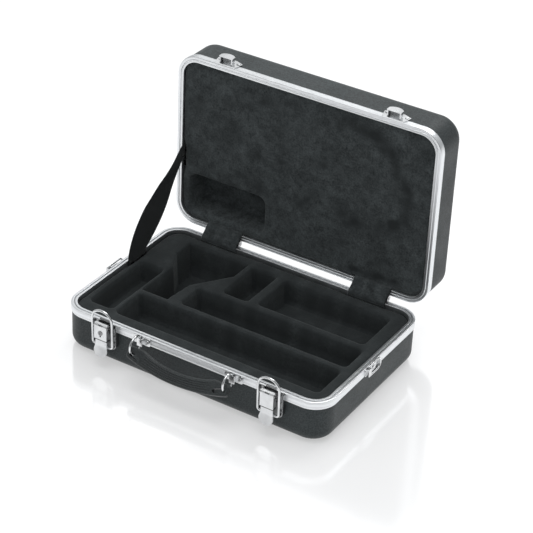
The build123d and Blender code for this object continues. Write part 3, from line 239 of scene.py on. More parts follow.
def rim_loop(radius, arc_steps=20, run_steps=12):
    """Centre line and outward direction round the case's rounded outline.

    A point at an inset is its centre plus its direction times the corner radius less the inset:
    on the runs the direction is square to the side, in the corners it turns through a quarter.
    """
    half_x, half_y = CASE[0] / 2 - radius, CASE[1] / 2 - radius
    quarter = np.linspace(0, np.pi / 2, arc_steps)
    centres = np.array([(half_x, half_y), (-half_x, half_y), (-half_x, -half_y), (half_x, -half_y)])
    angle = np.arange(4)[:, None] * np.pi / 2 + quarter[None, :]
    arc_centre = np.repeat(centres[:, None], arc_steps, axis=1)
    following = np.roll(centres, -1, axis=0)
    t = np.linspace(0, 1, run_steps + 2)[None, 1:-1, None]
    run_centre = centres[:, None] * (1 - t) + following[:, None] * t
    run_angle = np.repeat(angle[:, -1:], run_steps, axis=1)
    centre = np.concatenate([arc_centre, run_centre], axis=1).reshape(-1, 2)
    turn = np.concatenate([angle, run_angle], axis=1).reshape(-1)
    return centre, np.stack([np.cos(turn), np.sin(turn)], axis=1)


def on_rim(flat, depth, lid):
    """Place points, given across a rim's plane and by depth below it, on the base or on the lid."""
    if lid:
        height = (LID_LOW[2] + LID_HIGH[2]) / 2 + flat[..., 1]
        return np.stack([flat[..., 0], LID_RIM + depth, height], axis=-1)
    return np.stack([flat[..., 0], flat[..., 1], BASE_TOP - depth], axis=-1)


def smooth(x):
    """Smooth step from 0 to 1: three squares less two cubes of x, held past both ends."""
    x = np.clip(x, 0, 1)
    return x * x * (3 - 2 * x)


def ridge(away, width):
    """Gaussian ridge: one in its middle, and 1/e at its width away from there."""
    return np.exp(-((away / width) ** 2))


def box_distance(x, y, left, right, front, back, radius):
    """Signed distance to a rounded rectangle, negative inside it.

    It is the distance to the rectangle that is smaller by the radius on each side, less the radius.
    """
    dx = np.abs(x - (left + right) / 2) - (right - left) / 2 + radius
    dy = np.abs(y - (front + back) / 2) - (back - front) / 2 + radius
    outside = np.hypot(np.maximum(dx, 0), np.maximum(dy, 0))
    return outside + np.minimum(np.maximum(dx, dy), 0) - radius


def ripple(x, y, size, seed):
    """Soft unevenness between -1 and 1.

    It is the mean of a few sine waves that run in seeded directions, each bent by a wave across it.
    """
    waves = 9
    rng = np.random.default_rng(seed)
    total = np.zeros_like(x)
    turn, shift = rng.uniform(0, np.pi, waves), rng.uniform(0, 2 * np.pi, waves)
    scale = rng.uniform(0.6, 1.6, waves)
    for angle, start, grow in zip(turn, shift, scale):
        onward = x * np.cos(angle) + y * np.sin(angle)
        across = y * np.cos(angle) - x * np.sin(angle)
        phase = 2 * np.pi * onward / (size * grow) + start
        total += np.sin(phase + 0.8 * np.sin(across / size * 2.1 + start))
    return total / waves


# ---------------------------------------------------------------- materials
# Places of a Mix node's two colours and of its mixed colour among its sockets.
COLOUR_A, COLOUR_B, COLOUR_MIXED = 6, 7, 2
# Bands that a wave texture of scale 1 draws in one unit, about.
WAVE_BANDS = 3.14


class Finish:
    """A node material under construction, on a Principled shader."""

    def __init__(self, name, base, roughness, metallic=0.0):
        self.material = bpy.data.materials.new(name)
        self.material.use_nodes = True
        self.nodes = self.material.node_tree.nodes
        self.links = self.material.node_tree.links
        self.shader = self.nodes["Principled BSDF"]
        self.set("Base Color", (*base, 1))
        self.set("Roughness", roughness)
        self.set("Metallic", metallic)
        self.place = self.node("ShaderNodeTexCoord").outputs["Object"]

    def set(self, socket, value):
        """Give one of the shader's sockets a constant value."""
        self.shader.inputs[socket].default_value = value

    def node(self, kind, **inputs):
        """New node with constant values on its inputs."""
        made = self.nodes.new(kind)
        for key, value in inputs.items():
            made.inputs[key.replace("_", " ")].default_value = value
        return made

    def noise(self, scale, detail=3.0, rough=0.55, distortion=0.0):
        """Noise over the object, with its features about one over the scale apart, in metres."""
        made = self.node(
            "ShaderNodeTexNoise", Scale=scale, Detail=detail, Roughness=rough, Distortion=distortion)
        self.links.new(self.place, made.inputs["Vector"])
        return made.outputs["Fac"]

    def pebbles(self, scale):
        """Distance from the middle of the nearest rounded cell."""
        made = self.node("ShaderNodeTexVoronoi", Scale=scale)
        made.feature = "SMOOTH_F1"
        made.inputs["Smoothness"].default_value = 0.6
        self.links.new(self.place, made.inputs["Vector"])
        return made.outputs["Distance"]

    def value(self, name):
        """The mesh's own attribute of that name."""
        made = self.nodes.new("ShaderNodeAttribute")
        made.attribute_name = name
        return made.outputs["Fac"]

    def ramp(self, source, low, high, from_low=0.0, from_high=1.0):
        """Map a value from one range to another, held at both ends."""
        made = self.nodes.new("ShaderNodeMapRange")
        made.inputs["From Min"].default_value = from_low
        made.inputs["From Max"].default_value = from_high
        made.inputs["To Min"].default_value = low
        made.inputs["To Max"].default_value = high
        self.links.new(source, made.inputs["Value"])
        return made.outputs["Result"]

    def math(self, operation, a, b):
        """One operation on two values, each a number or another node's output."""
        made = self.nodes.new("ShaderNodeMath")
        made.operation = operation
        for socket, source in zip(made.inputs, (a, b)):
            if isinstance(source, (int, float)):
                socket.default_value = source
            else:
                self.links.new(source, socket)
        return made.outputs[0]

    def tint(self, factor, first, second):
        """Base colour that goes from the first colour to the second with the factor."""
        mix = self.nodes.new("ShaderNodeMix")
        mix.data_type = "RGBA"
        mix.inputs[COLOUR_A].default_value = (*first, 1)
        mix.inputs[COLOUR_B].default_value = (*second, 1)
        self.links.new(factor, mix.inputs[0])
        self.links.new(mix.outputs[COLOUR_MIXED], self.shader.inputs["Base Color"])

    def rough(self, factor, low, high, from_low=0.3, from_high=0.7):
        """Roughness that goes from low to high with the factor."""
        source = self.ramp(factor, low, high, from_low, from_high)
        self.links.new(source, self.shader.inputs["Roughness"])

    def relief(self, height, strength, distance):
        """Small bumps of that height, on top of those already there."""
        bump = self.nodes.new("ShaderNodeBump")
        bump.inputs["Strength"].default_value = strength
        bump.inputs["Distance"].default_value = distance
        self.links.new(height, bump.inputs["Height"])
        last = self.shader.inputs["Normal"]
        if last.is_linked:
            self.links.new(last.links[0].from_socket, bump.inputs["Normal"])
        self.links.new(bump.outputs["Normal"], last)


def dress(obj, finish):
    """Give an object one finish and no other."""
    obj.data.materials.clear()
    obj.data.materials.append(finish.material)


def shade(base, factor):
    """The colour made darker or lighter by a factor."""
    return tuple(min(1.0, c * factor) for c in base)


def moulded_finish(name, base, grain, gloss):
    """Moulded plastic: pebbled grain, slight mottling, painted glints at the grain's scale, scuffs that
    polish it.
    """
    finish = Finish(name, base, gloss)
    finish.set("Specular IOR Level", 0.28)
    finish.set("Sheen Weight", 0.1)
    finish.set("Sheen Roughness", 0.5)
    broad = finish.ramp(finish.noise(9, 4, 0.6), 0, 0.3, 0.35, 0.65)
    # Painted highlight: specks at the grain's scale stand for glints on the pebbles.
    painted_pebble_glints = finish.ramp(finish.noise(0.5 / grain, 2, 0.7), -0.15, 0.8, 0.34, 0.66)
    finish.tint(finish.math("ADD", broad, painted_pebble_glints), shade(base, 0.4), shade(base, 1.5))
    finish.rough(finish.noise(38, 4, 0.6), gloss - 0.05, gloss + 0.06)
    finish.relief(finish.pebbles(1 / (grain * 1.25)), 0.34, 0.00022)
    finish.relief(finish.noise(1 / grain, 2, 0.5), 0.25, 0.0001)
    return finish


def plush_finish(name, settings):
    """Short pile: a nap that lies in patches and holds painted shade, fine fibres and a soft sheen."""
    finish = Finish(name, settings.pile, 0.95)
    finish.set("Specular IOR Level", 0.12)
    finish.set("Sheen Weight", 0.16)
    finish.set("Sheen Roughness", 0.5)
    finish.set("Sheen Tint", (0.75, 0.8, 0.8, 1))
    patches = finish.noise(26, 5, 0.62, distortion=0.6)
    fine = finish.noise(420, 2, 0.7)
    small = finish.noise(110, 3, 0.65, distortion=0.4)
    worn = finish.ramp(patches, 0.34, 0.5, 0.36, 0.64)
    worn = finish.math("ADD", worn, finish.ramp(fine, -0.25, 0.35, 0.3, 0.7))
    worn = finish.math("ADD", worn, finish.ramp(small, -0.2, 0.3, 0.34, 0.66))
    # The nap attribute holds painted shadow on the lid and painted shade on the tray.
    nap = finish.math("MULTIPLY", worn, finish.value("nap"))
    finish.tint(nap, settings.pile, settings.brushed)
    finish.relief(finish.noise(900, 2, 0.6), 0.7, 0.0004)
    finish.relief(patches, 0.35, 0.0012)
    return finish


def webbing_finish(name, settings):
    """Woven webbing: ribs across its width, crossed by threads along it."""
    finish = Finish(name, settings.black, 0.78)
    finish.set("Sheen Weight", 0.12)
    finish.set("Sheen Roughness", 0.45)
    finish.set("Specular IOR Level", 0.25)
    coordinates = finish.node("ShaderNodeUVMap")
    coordinates.uv_map = "UVMap"
    ribs = finish.node("ShaderNodeTexWave", Scale=1.0, Distortion=0.35, Detail=1.0)
    ribs.bands_direction = "X"
    mapping = finish.node("ShaderNodeMapping")
    ribs_along = STRAP_LENGTH / settings.weave
    mapping.inputs["Scale"].default_value = (ribs_along / WAVE_BANDS, 20, 1)
    finish.links.new(coordinates.outputs["UV"], mapping.inputs["Vector"])
    finish.links.new(mapping.outputs["Vector"], ribs.inputs["Vector"])
    warp = finish.node("ShaderNodeTexWave", Scale=1.0, Distortion=0.2)
    warp.bands_direction = "Y"
    finish.links.new(mapping.outputs["Vector"], warp.inputs["Vector"])
    cloth = finish.math("MULTIPLY", ribs.outputs["Fac"], warp.outputs["Fac"])
    dark, light = shade(settings.black, 0.62), shade(settings.black, 1.35)
    finish.tint(finish.ramp(cloth, 0, 1, 0.1, 0.8), dark, light)
    finish.relief(cloth, 0.5, 0.0004)
    finish.relief(finish.noise(600, 2), 0.2, 0.0002)
    return finish


def satin_finish(name, base):
    """Extruded aluminium: painted shade in its grooves and below its beads, from the lines attribute, and
    slight dulling.
    """
    finish = Finish(name, base, 0.34, 1.0)
    # The lines attribute darkens the colour where shade is painted.
    lines = finish.value("lines")
    finish.tint(finish.ramp(lines, 0, 1), shade(base, 0.52), base)
    finish.rough(finish.noise(60, 4, 0.6), 0.30, 0.40)
    finish.relief(finish.noise(300, 2, 0.5), 0.05, 0.0001)
    return finish


def plated_finish(name, base, gloss, tone=0.8):
    """Plated metal: faint waviness, dulled patches and fine scratches."""
    finish = Finish(name, base, gloss, 1.0)
    finish.tint(finish.ramp(finish.noise(70, 3), 0, 1, 0.35, 0.65), shade(base, tone), base)
    finish.rough(finish.noise(120, 4, 0.6), gloss * 0.75, gloss * 1.5)
    finish.relief(finish.noise(90, 2), 0.12, 0.0003)
    return finish


# ---------------------------------------------------------------- frames
# Depth of the base frame's groove, height of the lid frame's tongue and its play on each side, sheet
# thickness and depth of the channel's web, in millimetres; bead lines by their share of the band.
GROOVE_STEP = 1.35
TONGUE_STEP = 0.7
TONGUE_PLAY = 0.35
SHEET = 1.0
WEB = 3.15
BEADS = (0.24, 0.74)


def frame_profile(settings, band, lid):
    """Section of a frame as insets and depths in millimetres, and how light each point is painted.

    A closed channel: the outer band, the flat with its groove (or tongue, on the lid) and the
    inner leg. Beads are gaussian ridges along the band and the flat, pushed outward.
    """
    rim, edge, bead = settings.rim / MM, settings.rounding / MM, settings.bead / MM
    inset, groove, step = settings.groove_inset / MM, settings.groove / MM, GROOVE_STEP
    if lid:
        inset, groove, step = inset + TONGUE_PLAY, groove - 2 * TONGUE_PLAY, -TONGUE_STEP
    corners = [
        (0, band), (0, 0), (inset, 0), (inset, step), (inset + groove, step), (inset + groove, 0),
        (rim, 0), (rim, band), (rim - SHEET, band), (rim - SHEET, WEB), (SHEET, WEB), (SHEET, band),
    ]
    radii = [0.3, edge, 0.3, 0.25, 0.25, 0.3, 0.55, 0.3, 0.3, 0.5, 0.5, 0.3]
    outline = evenly(rounded_profile(corners, radii), 0.24, ring=True)
    across, depth = outline.T
    outer = across < 0.6
    below = depth[:, None] - np.array(BEADS) * band
    band_ridge = ridge(below, 0.38).sum(axis=1) * outer
    flat_lines = np.array([2.2, rim - 2.0] if lid else [2.0])
    flat_ridge = ridge(across[:, None] - flat_lines, 0.3).sum(axis=1) * (np.abs(depth) < 0.3)
    # Painted shade: a dark line just below each bead, a dark line along the lid's tongue, a dark floor in
    # the base's groove.
    light = 1 - 0.55 * ridge(below - 0.55, 0.22).sum(axis=1) * outer
    if lid:
        light -= 0.8 * ridge(across - (rim - 2.2), 0.28) * (np.abs(depth) < 0.35)
    else:
        between = (across > inset + 0.05) & (across < inset + groove - 0.05)
        light = np.where(between & (depth > 0.2) & (depth < 1.5), 0.05, light)
    across = across - bead * band_ridge
    depth = depth - 0.4 * bead * flat_ridge
    return np.stack([across, depth], axis=1), np.clip(light, 0, 1)


class CASE_OT_frames(bpy.types.Operator):
    """Satin aluminium frames round the two rims"""

    bl_idname = "case.frames"
    bl_label = "Frames"

    def execute(self, context):
        settings = context.scene.case.frames
        finish = satin_finish("satin_aluminium", settings.aluminium)
        for name, lid in (("base", False), ("lid", True)):
            band = (settings.lid_band if lid else settings.base_band) / MM
            profile, light = frame_profile(settings, band, lid)
            radius = settings.corner / MM
            centre, out = rim_loop(radius)
            flat = centre[:, None] + out[:, None] * (radius - profile[None, :, :1])
            depth = np.broadcast_to(profile[None, :, 1], flat.shape[:2])
            points = on_rim(flat, depth, lid)
            # Painted shade of the grooves and beads, kept as the lines attribute.
            lines = np.broadcast_to(light, flat.shape[:2])
            piece = surface(f"{name}_frame", points, True, True, {"lines": lines})
            turn_out(piece)
            dress(piece, finish)
            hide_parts(f"{name}_valance")
            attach(piece, name)
        return {"FINISHED"}


def turn_out(obj):
    """Make a closed surface's faces look outward, by the sign of its volume."""
    mesh = obj.data
    count = len(mesh.vertices)
    place = np.empty(count * 3, dtype=np.float32)
    mesh.vertices.foreach_get("co", place)
    place = place.reshape(-1, 3).astype(float)
    place -= place.mean(axis=0)
    loops = np.empty(len(mesh.loops), dtype=np.int32)
    mesh.loops.foreach_get("vertex_index", loops)
    a, b, c, d = place[loops.reshape(-1, 4)].transpose(1, 0, 2)
    volume = np.einsum("ij,ij->", a, np.cross(b, c)) + np.einsum("ij,ij->", a, np.cross(c, d))
    if volume < 0:
        mesh.flip_normals()


# ---------------------------------------------------------------- plush
# Left, right, front and back of each pocket, and the height of its floor, in millimetres.
POCKETS = (
    (-163.0, -129.0, -85.0, 24.0, 27.0),
    (-72.0, 157.0, -27.0, 14.0, 21.0),
    (-123.0, 157.0, -88.0, -36.0, 21.0),
    (-44.0, -8.0, 22.0, 92.0, 21.0),
    (4.0, 151.0, 24.0, 90.0, 23.0),
)
POCKET_CORNER = 6.0
# Corners of the bell's pocket and the height of its floor.
BELL = np.array([
    (-125.0, -29.0), (-89.0, -29.0), (-85.0, 12.0), (-52.0, 60.0),
    (-52.0, 93.0), (-138.0, 93.0), (-138.0, 62.0), (-124.0, 34.0),
])
BELL_FLOOR = 9.0
# The lid's recess over the bell: left, right, near and far from the hinges, and its depth.
RECESS = (-164.0, -51.0, -100.0, -46.0, 36.0)
RECESS_CORNER = 12.0
RECESS_WALL = 7.0
# Where the strap and the flaps tuck in beside the plush: the middle and half width of each tuck.
STRAP_TUCK = (25.0, 17.0)
STRAP_TUCK_LID = (-27.0, 17.0)
FLAP_TUCK = (106.0, 24.0)
TUCK_DEPTH = 4.0
# Points across and along each insert, rows of its skirt, and the skirt's depth.
PLUSH_POINTS = (284, 178)
SKIRT_ROWS = 2
SKIRT_DEPTH = 14.0
# Dark patches of the lid's pile: the line through each, its width and its strength.
PILE_PATCHES_AND_PAINTED_SHADOWS = (
    # The first patch is painted shadow down the right side, the fourth painted shadow above the right
    # flap.
    (((52, 94), (94, 86), (112, 70), (127, 51), (141, 27), (138, -13), (103, -33)), 9, 0.62),
    (((62, -35), (74, -34)), 14, 0.5),
    (((-6, -40), (14, -20)), 5, 0.4),
    (((75, -99), (133, -97)), 5, 0.7),
    (((-150, 60), (-120, 20)), 12, 0.3),
    (((-60, 84), (-20, 92)), 8, 0.4),
    (((-90, -24), (-40, -40)), 8, 0.35),
    (((-75, 6), (-66, 9)), 6, 0.6),
    (((-31, 11), (-26, 13)), 4, 0.45),
    (((-110, 67), (-105, 66)), 6, 0.4),
    (((22, 27), (28, 26)), 5, 0.4),
    (((-6, -10), (-1, -10)), 4, 0.4),
)


def line_distance(x, y, points):
    """Distance to the line through points: the least distance to any of its stretches."""
    nearest = np.full(x.shape, 1e9)
    for (x0, y0), (x1, y1) in zip(points[:-1], points[1:]):
        ex, ey = x1 - x0, y1 - y0
        t = np.clip(((x - x0) * ex + (y - y0) * ey) / (ex * ex + ey * ey), 0, 1)
        nearest = np.minimum(nearest, np.hypot(x - x0 - t * ex, y - y0 - t * ey))
    return nearest


def polygon_distance(x, y, corners):
    """Signed distance to a polygon, negative inside it.

    A point is inside if a ray from it crosses the outline an odd number of times.
    """
    inside = np.zeros(x.shape, dtype=bool)
    for (x0, y0), (x1, y1) in zip(corners, np.roll(corners, -1, axis=0)):
        crosses = (y0 > y) != (y1 > y)
        inside ^= crosses & (x < x0 + (y - y0) * (x1 - x0) / (y1 - y0 if y1 != y0 else 1e-9))
    nearest = line_distance(x, y, np.vstack([corners, corners[:1]]))
    return np.where(inside, -nearest, nearest)


def insert_outline(inset, corner):
    """Left, right, front, back and corner radius of the inserts, at an inset from the case's."""
    half_x, half_y = CASE[0] / 2 - inset, CASE[1] / 2 - inset
    return -half_x, half_x, -half_y, half_y, corner - inset


def insert_grid(outline, count_x, count_y, skirt):
    """Grid over a rounded rectangle with a skirt of more rows all round.

    Each row is stretched to the outline's width at its height, so the outer rows follow the
    rounded corners. The skirt's rows repeat the outermost ones, and drop rises over them to 1.
    """
    _, half_x, _, half_y, radius = outline
    v = np.linspace(-1, 1, count_y)
    v = np.sin(v * np.pi / 2) * 0.12 + v * 0.88
    y = v * half_y
    past = np.clip(np.abs(y) - (half_y - radius), 0, radius)
    reach = half_x - (radius - np.sqrt(np.maximum(radius**2 - past**2, 0)))
    u = np.linspace(-1, 1, count_x)
    x = u[None, :] * reach[:, None]
    y = np.broadcast_to(y[:, None], x.shape)
    x, y = np.pad(x, skirt, mode="edge"), np.pad(y, skirt, mode="edge")
    drop = np.pad(np.zeros((count_y, count_x)), skirt, mode="linear_ramp", end_values=1.0)
    return x, y, drop


def tuck(across, middle, half, past_edge):
    """Depth of a tuck: full near its middle and past the edge, and fading out away from there."""
    return TUCK_DEPTH * smooth(1.6 - np.abs(across - middle) / half) * smooth(past_edge)


def tray_depth(x, y, settings, outline):
    """Depth of the tray's plush below the rim, in millimetres.

    Flat, with each pocket a smooth step down over its wall, a soft rim round each pocket, a
    rounded outer edge, troughs where the strap and the flaps tuck in, and an uneven nap.
    """
    wall = settings.wall / MM
    top = settings.tray_depth / MM
    distances = [(box_distance(x, y, *edges, POCKET_CORNER), floor) for *edges, floor in POCKETS]
    distances.append((polygon_distance(x, y, BELL), BELL_FLOOR))
    depth = np.full(x.shape, top)
    rim = np.full(x.shape, 1e3)
    for distance, floor in distances:
        depth = np.maximum(depth, top + (BASE_TOP - floor - top) * smooth(-distance / wall))
        rim = np.minimum(rim, np.maximum(distance, 0))
    depth += 1.2 * np.exp(-rim / 2.0)
    edge = -box_distance(x, y, *outline)
    depth += 3.6 * (1 - np.sqrt(np.clip(1 - (1 - np.clip(edge / 5.0, 0, 1)) ** 2, 0, 1)))
    depth += tuck(y, *STRAP_TUCK, (x + 168.5) / -4.0 + 0.4)
    depth += tuck(np.abs(x), *FLAP_TUCK, (y - 104.0) / 4.0 + 0.2)
    return depth + settings.nap / MM * ripple(x, y, 34.0, 3)


def lid_depth(x, y, settings, outline):
    """Depth of the lid's plush below its rim, in millimetres.

    Flat, with the recess over the bell a smooth step down, a soft rim round it, a rounded outer
    edge, a trough where the strap tucks in, and an uneven nap.
    """
    top = settings.lid_depth / MM
    *edges, bottom = RECESS
    recess = box_distance(x, y, *edges, RECESS_CORNER)
    depth = top + (bottom - top) * smooth(-recess / RECESS_WALL)
    depth += 1.6 * np.exp(-np.maximum(recess, 0) / 3.0)
    edge = -box_distance(x, y, *outline)
    depth += 1.0 * (1 - np.sqrt(np.clip(1 - (1 - np.clip(edge / 3.0, 0, 1)) ** 2, 0, 1)))
    depth += tuck(y, *STRAP_TUCK_LID, (x + 168.5) / -4.0 + 0.4)
    return depth + 1.6 * settings.nap / MM * ripple(x, y, 60.0, 8)


def lid_nap_and_painted_shadow(x, y):
    """How far the pile is brushed up, from 0 to 1: soft waves with dark patches, two of them painted
    shadow.

    Each patch is a gaussian ridge round a line, made uneven by a finer wave.
    """
    nap = 0.82 + 0.42 * ripple(x, y, 46.0, 5) + 0.2 * ripple(x, y, 15.0, 6)
    for points, size, strength in PILE_PATCHES_AND_PAINTED_SHADOWS:
        uneven = 1 + 0.9 * ripple(x, y, 17.0, 9)
        nap -= strength * uneven * ridge(line_distance(x, y, points), size)
    return np.clip(nap, 0, 1)


class CASE_OT_plush(bpy.types.Operator):
    """Plush inserts of the tray and the lid"""

    bl_idname = "case.plush"
    bl_label = "Plush Inserts"

    def execute(self, context):
        settings = context.scene.case.plush
        finish = plush_finish("black_plush", settings)
        outline = insert_outline(settings.inset / MM, context.scene.case.frames.corner / MM)
        for name, lid, build in (("tray", False, tray_depth), ("lid", True, lid_depth)):
            x, y, drop = insert_grid(outline, *PLUSH_POINTS, SKIRT_ROWS)
            depth = build(x, y, settings, outline) + SKIRT_DEPTH * drop
            points = on_rim(np.stack([x, y], axis=-1), depth, lid)
            # The lid's nap holds painted shadow, and the tray's low nap makes it darker: painted shade.
            nap = lid_nap_and_painted_shadow(x, y) if lid else np.clip(0.16 + 0.3 * ripple(x, y, 30.0, 11), 0, 1)
            piece = surface(f"{name}_plush", points, attributes={"nap": nap})
            face_rim(piece, lid)
            dress(piece, finish)
            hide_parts(f"{name}_lining", f"{name}_foam")
            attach(piece, "lid" if lid else "base")
        return {"FINISHED"}


def face_rim(obj, lid):
    """Make an insert's faces look out of the case, by the sum of their areas along the rim's axis."""
    normals = np.empty(len(obj.data.polygons) * 3, dtype=np.float32)
    obj.data.polygons.foreach_get("normal", normals)
    total = normals.reshape(-1, 3).sum(axis=0)
    if (-total[1] if lid else total[2]) < 0:
        obj.data.flip_normals()


# ---------------------------------------------------------------- strap and flaps
def along(points, count):
    """Smooth line through points, with its own points evenly spread.

    Each stretch is the cubic that meets both ends with the slopes of the line through neighbours.
    """
    points = np.array(points, float)
    run = np.concatenate([[0], np.cumsum(np.linalg.norm(np.diff(points, axis=0), axis=1))])
    slope = np.gradient(points, run, axis=0)
    places = np.linspace(0, run[-1], count)
    k = np.clip(np.searchsorted(run, places, side="right") - 1, 0, len(run) - 2)
    h = (run[k + 1] - run[k])[:, None]
    t = ((places - run[k]) / (run[k + 1] - run[k]))[:, None]
    a, b, m, n = points[k], points[k + 1], slope[k] * h, slope[k + 1] * h
    from_start = (2 * t**3 - 3 * t**2 + 1) * a + (t**3 - 2 * t**2 + t) * m
    return from_start + (3 * t**2 - 2 * t**3) * b + (t**3 - t**2) * n


def slab(name, middle, thickness, attributes=None):
    """Closed thin sheet: a grid moved half its thickness each way along its normals.

    Near both long edges the thickness follows the square root of the distance, which rounds them,
    and it falls to nothing at both ends.
    """
    du, dv = np.gradient(middle, axis=0), np.gradient(middle, axis=1)
    normal = np.cross(du, dv)
    normal /= np.maximum(np.linalg.norm(normal, axis=-1, keepdims=True), 1e-9)
    count_u, count_v = middle.shape[:2]
    from_edge = np.minimum(np.arange(count_v), np.arange(count_v)[::-1])
    from_end = np.minimum(np.arange(count_u), np.arange(count_u)[::-1])
    swell = np.sqrt(np.clip(from_edge / 2.0, 0, 1))[None, :] * np.clip(from_end / 1.0, 0, 1)[:, None]
    half = (thickness / 2 * swell)[..., None]
    points = np.concatenate([middle + normal * half, (middle - normal * half)[:, ::-1][:, 1:-1]], axis=1)
    obj = surface(name, points, ring_v=True, attributes=attributes)
    weld = bmesh.new()
    weld.from_mesh(obj.data)
    bmesh.ops.remove_doubles(weld, verts=weld.verts, dist=1e-6)
    weld.to_mesh(obj.data)
    weld.free()
    turn_out(obj)
    return obj


# The strap's plane beside the left wall, how far it is cupped near the lid, and its two edges from the
# lid down to the base, by distance back and height.
STRAP_WALL = -171.4
STRAP_CUP = 4.5
STRAP_UPPER = (
    (126.3, 169), (120, 168.6), (112.5, 163), (98.5, 150.2), (85.5, 141.8), (71, 134.4), (53.5, 123.4),
    (41, 115.5), (30, 105), (20, 93), (11, 77), (6.8, 64), (6, 57), (6, 50),
)
STRAP_LOWER = (
    (126.3, 150), (120.5, 152), (115, 147), (106.6, 131.2), (98.8, 116.6), (90.5, 101.4), (79.6, 87.2),
    (66.5, 74.8), (54.5, 65.4), (48, 60.6), (45.6, 59), (44, 57.5), (44, 54), (44, 50),
)


class CASE_OT_strap(bpy.types.Operator):
    """Slack webbing strap that stops the lid"""

    bl_idname = "case.strap"
    bl_label = "Stay Strap"

    def execute(self, context):
        settings = context.scene.case.webbing
        upper, lower = along(STRAP_UPPER, 120), along(STRAP_LOWER, 120)
        t = np.linspace(0, 1, 120)[:, None]
        across = np.linspace(0, 1, 33)[None, :]
        cup = ridge(t - 0.14, 0.16) * STRAP_CUP
        bow = settings.bow / MM * np.sin(np.pi * np.clip((t - 0.03) / 0.86, 0, 1)) ** 1.5
        x = STRAP_WALL - bow + cup * np.sin(np.pi * across) * np.clip(t / 0.1, 0, 1)
        y = upper[:, :1] * (1 - across) + lower[:, :1] * across
        z = upper[:, 1:] * (1 - across) + lower[:, 1:] * across
        middle = np.stack([x, y, z], axis=-1)
        piece = slab("webbing_strap", middle, settings.thickness / MM)
        dress(piece, webbing_finish("black_webbing", settings))
        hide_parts("stay_strap")
        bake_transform(piece)
        return {"FINISHED"}


# A flap's section from the tray over the rims into the lid, by distance back and height.
FLAP = (
    (107.5, 50.5), (107.2, 54), (106.9, 57.2), (108.6, 60.2), (112.4, 64.0), (116.2, 67.6), (119.6, 70.2),
    (123.4, 71.0), (127.6, 70.8),
)
FLAP_THICKNESS = 1.5


class CASE_OT_flaps(bpy.types.Operator):
    """Plush flaps over the hinges"""

    bl_idname = "case.flaps"
    bl_label = "Hinge Flaps"

    def execute(self, context):
        finish = plush_finish("flap_plush", context.scene.case.plush)
        path = along(FLAP, 40)
        for name, side in (("left", -1), ("right", 1)):
            across = np.linspace(-1, 1, 48)[None, :]
            t = np.linspace(0, 1, 40)[:, None]
            low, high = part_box(f"hinge_cover_{name}")
            centre, half = (low[0] + high[0]) / 2 / MM, (high[0] - low[0]) / 2 / MM
            free = np.sin(np.pi * t)
            x = centre + across * (half - 0.5 - 0.9 * free) + 0 * t
            waves = np.cos(across * 4.6 + side) + 0.5 * np.cos(across * 9.1)
            sag = 0.7 * free * waves - free * across**8
            y = path[:, :1] - 0.7 * sag + 0 * across
            z = path[:, 1:] + 0.7 * sag + 0 * across
            nap = np.clip(0.55 + 0.4 * ripple(x, y * 2 + z, 16.0, 21 + side), 0, 1)
            nap = np.concatenate([nap, nap[:, ::-1][:, 1:-1]], axis=1)
            middle = np.stack([x, y, z], axis=-1)
            piece = slab(f"hinge_flap_{name}", middle, FLAP_THICKNESS, {"nap": nap})
            dress(piece, finish)
            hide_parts(f"hinge_cover_{name}")
            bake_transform(piece)
        return {"FINISHED"}


# ---------------------------------------------------------------- grip
# Middle of the grip's rings and their radius, in millimetres, and the angle in degrees by which the
# grip leans out from hanging straight down.
RING_FORWARD = -128.9
RING_HEIGHT = 51.4
RING_RADIUS = 11.0
GRIP_TILT = 40.0
# Each edge of the grip is an arc: the height of its middle and its radius.
GRIP_LOWER = (-14.9, 232.0)
GRIP_UPPER = (0.4, 140.8)
# Middles of the ribs from the grip's middle plane, half their length, and their rise.
GRIP_FACE = 3.9
RIB_REACH = 46.0
RIB_RISE = 0.75


def arc_height(x, middle, radius):
    """Height at x of an arc of that radius: lowest, at the height given, in its middle."""
    return middle + radius - np.sqrt(radius**2 - x**2)


class CASE_OT_grip(bpy.types.Operator):
    """Raised ribs along the moulded grip"""

    bl_idname = "case.grip"
    bl_label = "Grip Ribs"

    def execute(self, context):
        settings = context.scene.case.shell
        finish = moulded_finish("moulded_grip", settings.grip, 0.0006, 0.42)
        dress(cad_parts["handle_grip"], finish)
        tilt = radians(GRIP_TILT)
        drop = RING_RADIUS * np.array([np.sin(tilt), np.cos(tilt)])
        origin = np.array([0, RING_FORWARD - drop[0], RING_HEIGHT - drop[1]])
        up = np.array([0, np.sin(tilt), np.cos(tilt)])
        out = np.array([0, -np.cos(tilt), np.sin(tilt)])
        half = settings.rib / MM / 2
        x = np.linspace(-RIB_REACH, RIB_REACH, 90)[:, None]
        lower, upper = arc_height(x, *GRIP_LOWER), arc_height(x, *GRIP_UPPER)
        turn = np.linspace(0, 2 * np.pi, 14, endpoint=False)[None, :]
        ends = np.sqrt(np.clip(1 - (np.abs(x) / RIB_REACH) ** 10, 0, 1))
        for face, sign in (("front", 1), ("back", -1)):
            for number, share in enumerate(np.linspace(0.2, 0.8, 5)):
                line = lower + (upper - lower) * share
                rise = RIB_RISE * ends * np.sin(turn)
                spread = half * (0.25 + 0.75 * ends) * np.cos(turn)
                local = (line + spread)[..., None] * up + sign * (GRIP_FACE + rise)[..., None] * out
                points = origin + local
                points[..., 0] += x
                piece = surface(f"grip_rib_{face}_{number}", points, ring_v=True)
                turn_out(piece)
                dress(piece, finish)
                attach(piece, "handle")
        return {"FINISHED"}


# ---------------------------------------------------------------- finishes of the CAD nodes
class CASE_OT_shells(bpy.types.Operator):
    """Grained finish of the two moulded shells"""

    bl_idname = "case.shells"
    bl_label = "Shells"

    def execute(self, context):
        settings = context.scene.case.shell
        finish = moulded_finish("moulded_shell", settings.black, settings.grain, 0.5)
        for name in ("base_shell", "lid_shell"):
            dress(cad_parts[name], finish)
        return {"FINISHED"}


